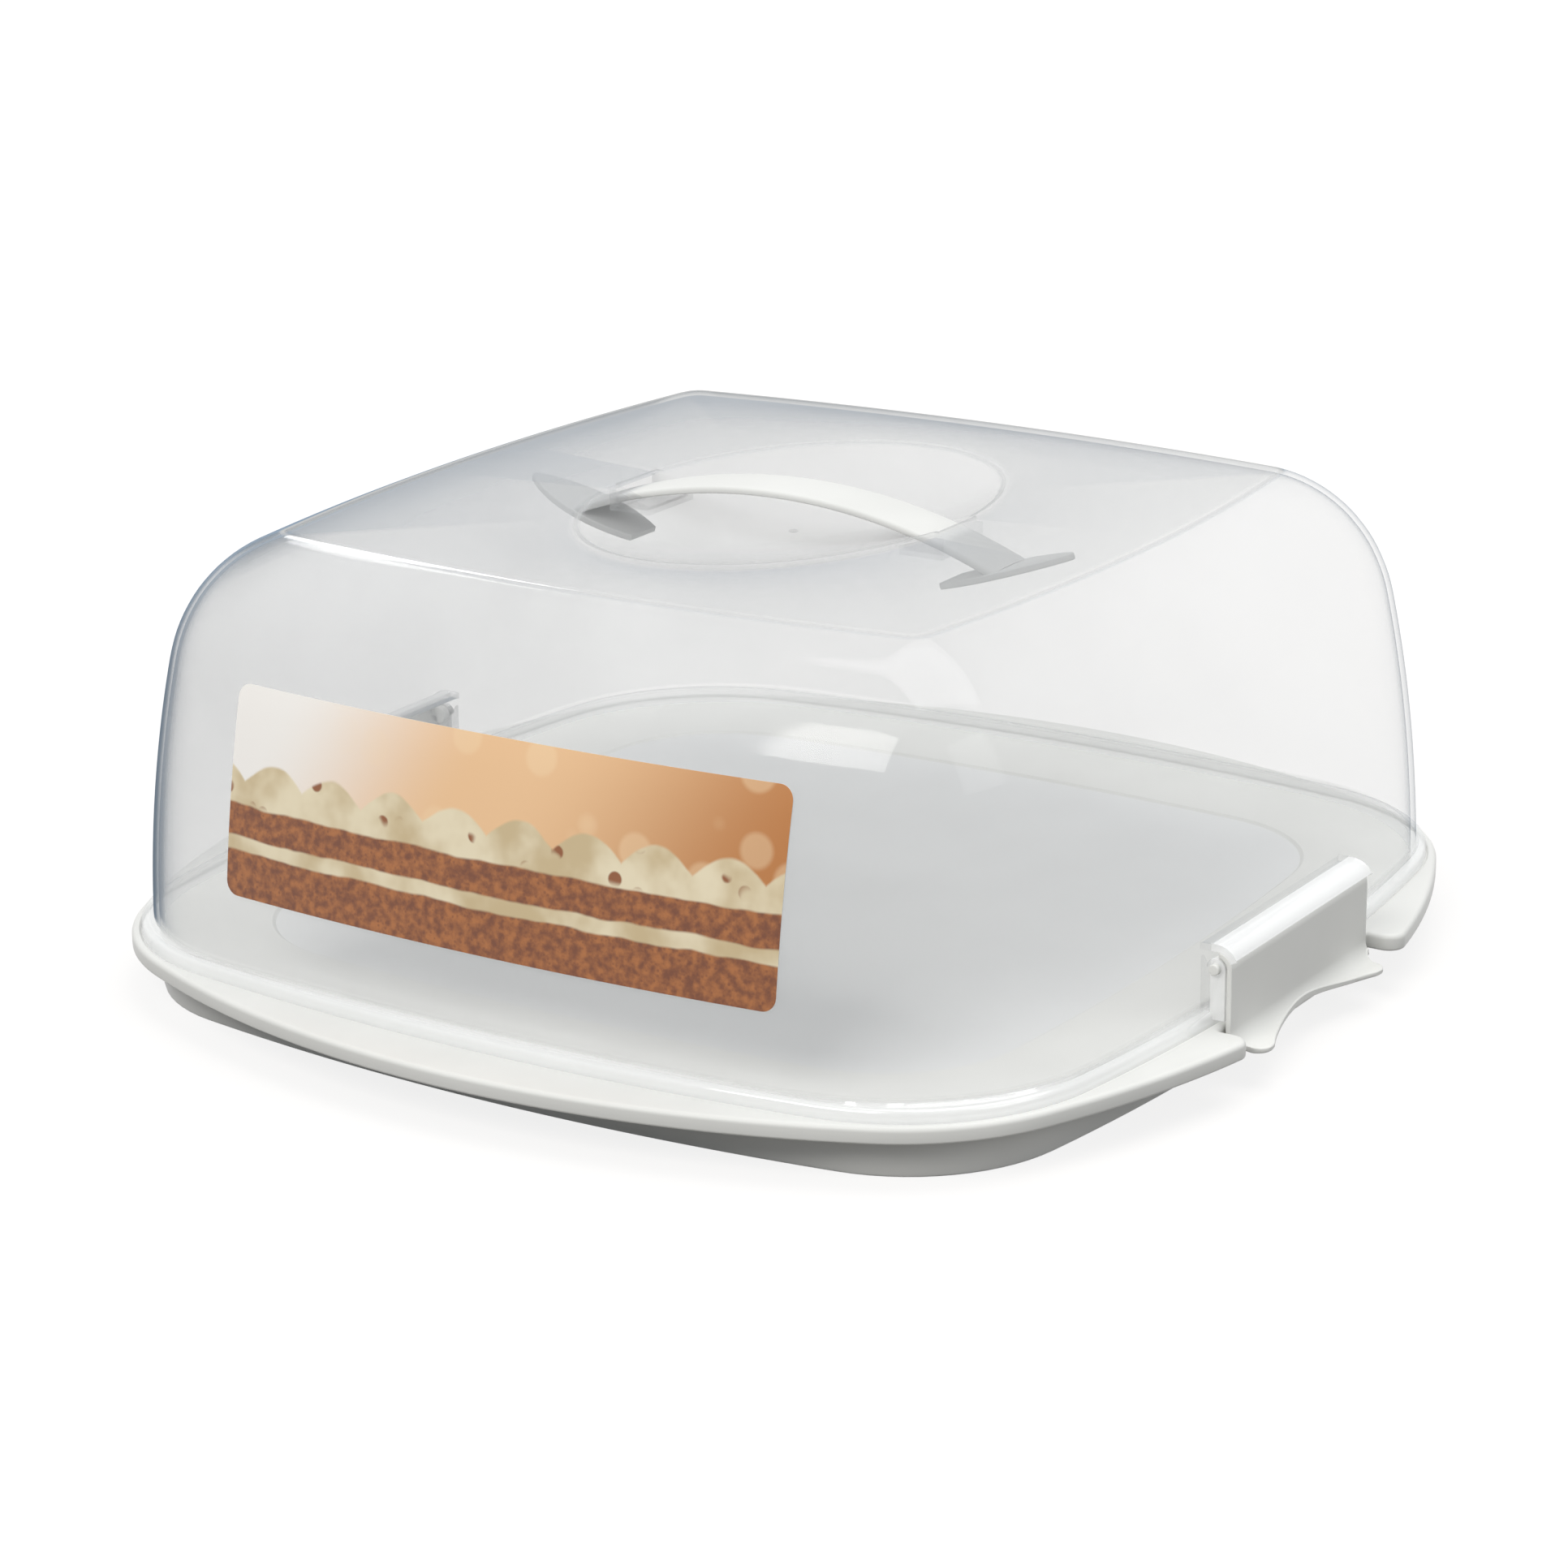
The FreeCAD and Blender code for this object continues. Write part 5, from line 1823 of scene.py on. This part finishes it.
    def open_cap(self, piece: bpy.types.Object, number: int) -> None:
        """Remove one of the two many-sided end faces of a loft.

        Args:
            piece: The loft.
            number: 0 for the first end, or -1 for the last.
        """
        caps = [face.index for face in piece.data.polygons if len(face.vertices) > 4]
        wanted = caps[number]
        take(piece)
        bpy.ops.object.mode_set(mode="EDIT")
        bpy.ops.mesh.select_mode(type="FACE")
        bpy.ops.mesh.select_all(action="DESELECT")
        mesh = bmesh.from_edit_mesh(piece.data)
        mesh.faces.ensure_lookup_table()
        mesh.faces[wanted].select_set(True)
        bpy.ops.mesh.delete(type="ONLY_FACE")
        bpy.ops.object.mode_set(mode="OBJECT")

    def fill_between(self, piece: bpy.types.Object, height: float) -> None:
        """Fill the flat space between the open loops at a height.

        Args:
            piece: The mesh that is filled.
            height: The loops' height.
        """
        take(piece)
        bpy.ops.object.mode_set(mode="EDIT")
        bpy.ops.mesh.select_mode(type="EDGE")
        bpy.ops.mesh.select_all(action="DESELECT")
        mesh = bmesh.from_edit_mesh(piece.data)
        for edge in mesh.edges:
            level = all(abs(vertex.co.z - height) < LEVEL_CLEAR for vertex in edge.verts)
            if edge.is_boundary and level:
                edge.select_set(True)
        bpy.ops.mesh.fill(use_beauty=True)
        bpy.ops.object.mode_set(mode="OBJECT")

    def cup_ring(self) -> bpy.types.Object:
        """A cup ring under the middle of the floor.

        Returns:
            The ring.
        """
        low = self.sheet_low - self.ring_height
        high = self.sheet_low + self.wall / 2
        outer, inner = self.ring_radius, self.ring_radius - self.ring_wall
        edge = self.ring_wall * self.ring_break
        profile = ((outer, high), (outer, low + edge), (outer - edge, low),
                   (inner + edge, low), (inner, low + edge), (inner, high))
        ring = loft("cup_ring", [circle(radius, height, 72) for radius, height in profile])
        for number in (0, -1):
            self.open_cap(ring, number)
        self.fill_between(ring, high)
        return ring

    def cup_rings(self) -> list[bpy.types.Object]:
        """The cup rings, in rows and columns.

        Returns:
            The rings.
        """
        first = self.cup_ring()
        half_x = (self.ring_radius + self.ring_gap_x / 2) * (self.ring_columns - 1)
        half_y = (self.ring_radius + self.ring_gap_y / 2) * (self.ring_rows - 1)
        rings = []
        for x in spaced(-half_x, half_x, self.ring_columns - 1):
            for y in spaced(-half_y, half_y, self.ring_rows - 1):
                take(first)
                bpy.ops.object.duplicate()
                copy = bpy.context.object
                copy.data.transform(Matrix.Translation((x, y, 0)))
                rings.append(copy)
        bpy.data.objects.remove(first, do_unlink=True)
        return rings

    def build(self) -> None:
        """Model the tray, dress it and put it on its body."""
        piece = join("tray_shape", [self.sheet(), *self.cup_rings()])
        smooth(piece)
        dress(piece, TRAY_WHITE.material(), PANEL_WHITE.material())
        sunk = self.seat - self.panel_depth
        for face in piece.data.polygons:
            face.material_index = 1 if abs(face.center.z - sunk) < LEVEL_CLEAR else 0
        finish(piece, "tray", "white_plastic", "tray")


@dataclass
class Label:
    """The printed label that follows the lid's front wall."""

    dome: Dome
    half: float
    low: float
    high: float
    corner: float = 4.0 * MM
    gap: float = 0.1 * MM
    depth: float = 0.3 * MM
    columns: int = 40
    rows: int = 14

    def on_wall(self, x: float, z: float) -> Vector:
        """The point of the label's outer face at an X and a Z.

        Args:
            x: Place across the label.
            z: Height.

        Returns:
            The point.
        """
        level = self.dome.level(z)
        form = level.outline
        proud = (self.gap + self.depth) / level.cosine
        return Vector((x, form.back - math.sqrt((form.side_radius + proud) ** 2 - x ** 2), z))

    def sheet(self) -> bpy.types.Object:
        """The label as a thin closed sheet.

        Returns:
            The sheet.
        """
        deselect_all()
        bpy.ops.mesh.primitive_plane_add(size=1.0, rotation=(SQUARE, 0, 0),
                                         location=(0, 0, (self.low + self.high) / 2))
        piece = bpy.context.object
        piece.name = "label_shape"
        piece.scale = (2 * self.half, self.high - self.low, 1)
        bpy.ops.object.transform_apply(location=True, rotation=True, scale=True)
        bpy.ops.object.mode_set(mode="EDIT")
        bpy.ops.mesh.select_all(action="SELECT")
        bpy.ops.mesh.bevel(offset=self.corner, segments=8, affect="VERTICES")
        columns = spaced(-self.half, self.half, self.columns)[1:-1]
        cuts = [(Vector((x, 0, 0)), Vector((1, 0, 0))) for x in columns]
        cuts += [(UP * height, UP) for height in spaced(self.low, self.high, self.rows)[1:-1]]
        for place, normal in cuts:
            bpy.ops.mesh.select_all(action="SELECT")
            bpy.ops.mesh.bisect(plane_co=place, plane_no=normal)
        bpy.ops.object.mode_set(mode="OBJECT")
        for vertex in piece.data.vertices:
            vertex.co = self.on_wall(vertex.co.x, vertex.co.z)
        face_outwards(piece)
        if piece.data.polygons[0].normal.y > 0:
            piece.data.flip_normals()
        thickness = piece.modifiers.new("thickness", "SOLIDIFY")
        thickness.thickness = self.depth
        thickness.offset = -1.0
        bpy.ops.object.modifier_apply(modifier=thickness.name)
        return piece

    def build(self) -> None:
        """Model the label, dress its face and back and put it on the lid."""
        piece = self.sheet()
        smooth(piece)
        front = BakeryPrint("bakery_print", self.half, self.low, self.high)
        dress(piece, front.material(), PAPER.material())
        for face in piece.data.polygons:
            face.material_index = 0 if face.normal.y < -0.5 else 1
        finish(piece, "lid", "label_paper", "label")


@dataclass(frozen=True)
class Softbox:
    """A soft lamp that points at the box, with its power in watts."""

    name: str
    place: Vector
    size: tuple[float, float]
    power: float
    colour: Colour = (1.0, 1.0, 1.0)
    aim: float = 60.0 * MM

    def add(self) -> None:
        """Add the lamp."""
        data = bpy.data.lights.new(self.name, "AREA")
        data.shape = "RECTANGLE"
        data.size, data.size_y = self.size
        data.energy = self.power
        data.color = self.colour
        lamp = bpy.data.objects.new(self.name, data)
        bpy.context.scene.collection.objects.link(lamp)
        turn = (UP * self.aim - self.place).to_track_quat("-Z", "Y")
        lamp.matrix_world = Matrix.Translation(self.place) @ turn.to_matrix().to_4x4()


KEY = Softbox("key", Vector((-0.05, -1.45, 1.3)), (1.15, 0.75), 19.4, (1.0, 0.985, 0.96))
OVERHEAD = Softbox("overhead", Vector((0.2, 0.45, 1.95)), (1.8, 1.6), 24.6)
FILL = Softbox("fill", Vector((1.7, -0.2, 0.9)), (1.0, 1.0), 5.6)
REAR = Softbox("rear", Vector((-1.05, 0.75, 1.05)), (0.28, 0.2), 1.2)


@dataclass
class Studio:
    """A plain white studio, with the camera where the photograph was taken."""

    azimuth: float = math.radians(32.87)
    elevation: float = math.radians(17.97)
    roll: float = math.radians(-0.62)
    distance: float = 1.2642
    aim_right: float = -3.49 * MM
    aim_up: float = 44.18 * MM
    focal_pixels: float = 5319.6
    image_pixels: float = 1932.0
    sensor: float = 36.0
    floor_size: float = 14.0
    floor_colour: Colour = (0.17, 0.163, 0.155)
    floor_roughness: float = 0.9
    floor_glow: float = 0.83
    glow_near: float = 0.2
    glow_far: float = 1.6
    sky_colour: Colour = (0.93, 0.965, 1.0)
    sky_strength: float = 0.46

    def camera(self) -> None:
        """Add the camera at the photograph's viewing angle."""
        level = math.cos(self.elevation)
        right = Vector((math.cos(self.azimuth), math.sin(self.azimuth), 0))
        back = Vector((right.y * level, -right.x * level, math.sin(self.elevation)))
        up = back.cross(right)
        place = right * self.aim_right + up * self.aim_up + back * self.distance
        rolled_right = right * math.cos(self.roll) + up * math.sin(self.roll)
        rolled_up = up * math.cos(self.roll) - right * math.sin(self.roll)
        data = bpy.data.cameras.new("camera")
        data.sensor_fit = "HORIZONTAL"
        data.sensor_width = self.sensor
        data.lens = self.focal_pixels / self.image_pixels * self.sensor
        camera = bpy.data.objects.new("camera", data)
        bpy.context.scene.collection.objects.link(camera)
        turn = Matrix((rolled_right, rolled_up, back)).transposed()
        camera.matrix_world = Matrix.Translation(place) @ turn.to_4x4()
        bpy.context.scene.camera = camera

    def shown(self, tree: bpy.types.NodeTree) -> bpy.types.NodeSocket:
        """A value of 1 for rays that show a backdrop to the camera, straight, through glass or in gloss.

        Args:
            tree: The nodes of the backdrop's material or world.

        Returns:
            The socket that holds the value.
        """
        rays = tree.nodes.new("ShaderNodeLightPath")
        share = rays.outputs["Is Camera Ray"]
        for name in ("Is Transmission Ray", "Is Glossy Ray"):
            most = tree.nodes.new("ShaderNodeMath")
            most.operation = "MAXIMUM"
            tree.links.new(share, most.inputs[0])
            tree.links.new(rays.outputs[name], most.inputs[1])
            share = most.outputs[0]
        return share

    def world(self) -> None:
        """Light the scene all round, with a white sky for the camera and for gloss."""
        world = bpy.data.worlds.new("studio")
        bpy.context.scene.world = world
        world.use_nodes = True
        tree = world.node_tree
        light = tree.nodes["Background"]
        light.inputs["Color"].default_value = (*self.sky_colour, 1)
        light.inputs["Strength"].default_value = self.sky_strength
        white = tree.nodes.new("ShaderNodeBackground")
        white.inputs["Color"].default_value = (1, 1, 1, 1)
        white.inputs["Strength"].default_value = 1.0
        choice = tree.nodes.new("ShaderNodeMixShader")
        tree.links.new(self.shown(tree), choice.inputs[0])
        tree.links.new(light.outputs[0], choice.inputs[1])
        tree.links.new(white.outputs[0], choice.inputs[2])
        tree.links.new(choice.outputs[0], tree.nodes["World Output"].inputs["Surface"])

    def floor(self) -> None:
        """Lay a pale floor that looks white to the camera where no shadow falls."""
        deselect_all()
        bpy.ops.mesh.primitive_plane_add(size=self.floor_size)
        floor = bpy.context.object
        floor.name = "floor"
        tree = ShaderTree("studio_floor")
        tree.shader.inputs["Base Color"].default_value = (*self.floor_colour, 1)
        tree.shader.inputs["Roughness"].default_value = self.floor_roughness
        tree.shader.inputs["Specular IOR Level"].default_value = 0.0
        tree.shader.inputs["Emission Color"].default_value = (1, 1, 1, 1)
        glow = tree.place().length().ramp(self.glow_near, self.glow_far, self.floor_glow, 1.0)
        (Wire(tree, self.shown(tree.tree)) * glow).into("Emission Strength")
        dress(floor, tree.material)
        floor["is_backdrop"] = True

    def build(self) -> None:
        """Set up the camera, the light and the floor."""
        bpy.context.scene.view_settings.view_transform = "Standard"
        self.camera()
        for lamp in (KEY, OVERHEAD, FILL, REAR):
            lamp.add()
        self.world()
        self.floor()


def main() -> None:
    """Build the studio and every piece of the cake box."""
    logging.basicConfig(level=logging.INFO, format="%(name)s: %(message)s")
    lid_low, lid_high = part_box("lid")
    _, tray_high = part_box("tray")
    label_low, label_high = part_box("label")
    _, handle_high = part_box("handle")
    _, clip_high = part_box("clip_right")
    hinge = next(joint for joint in frame["joints"] if joint["name"] == "clip_right_swing")
    Studio().build()
    dome = Dome(seat=lid_low.z, wall_half=lid_high.y - Lid.rim_step)
    clip = ClipSizes(pin_x=hinge["pos_m"][0], pin_z=hinge["pos_m"][2],
                     ledge_low=tray_high.z - Tray.flange_depth)
    handle = Handle(crown=handle_high.z)
    lid = Lid(dome, clip, handle.half)
    Tray(seat=lid_low.z, rim=lid.rim, top=tray_high.z, notch_half=clip_high.y + Tray.notch_gap,
         flange_half=tray_high.y).build()
    handle.build()
    Clip(clip).build()
    Label(dome, label_high.x, label_low.z, label_high.z).build()
    lid.build()
    boxes = {"cad": CAD_BOX, "visual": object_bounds()}
    {name: [list(corner) for corner in box] for name, box in boxes.items()}


if __name__ == "__main__":
    main()
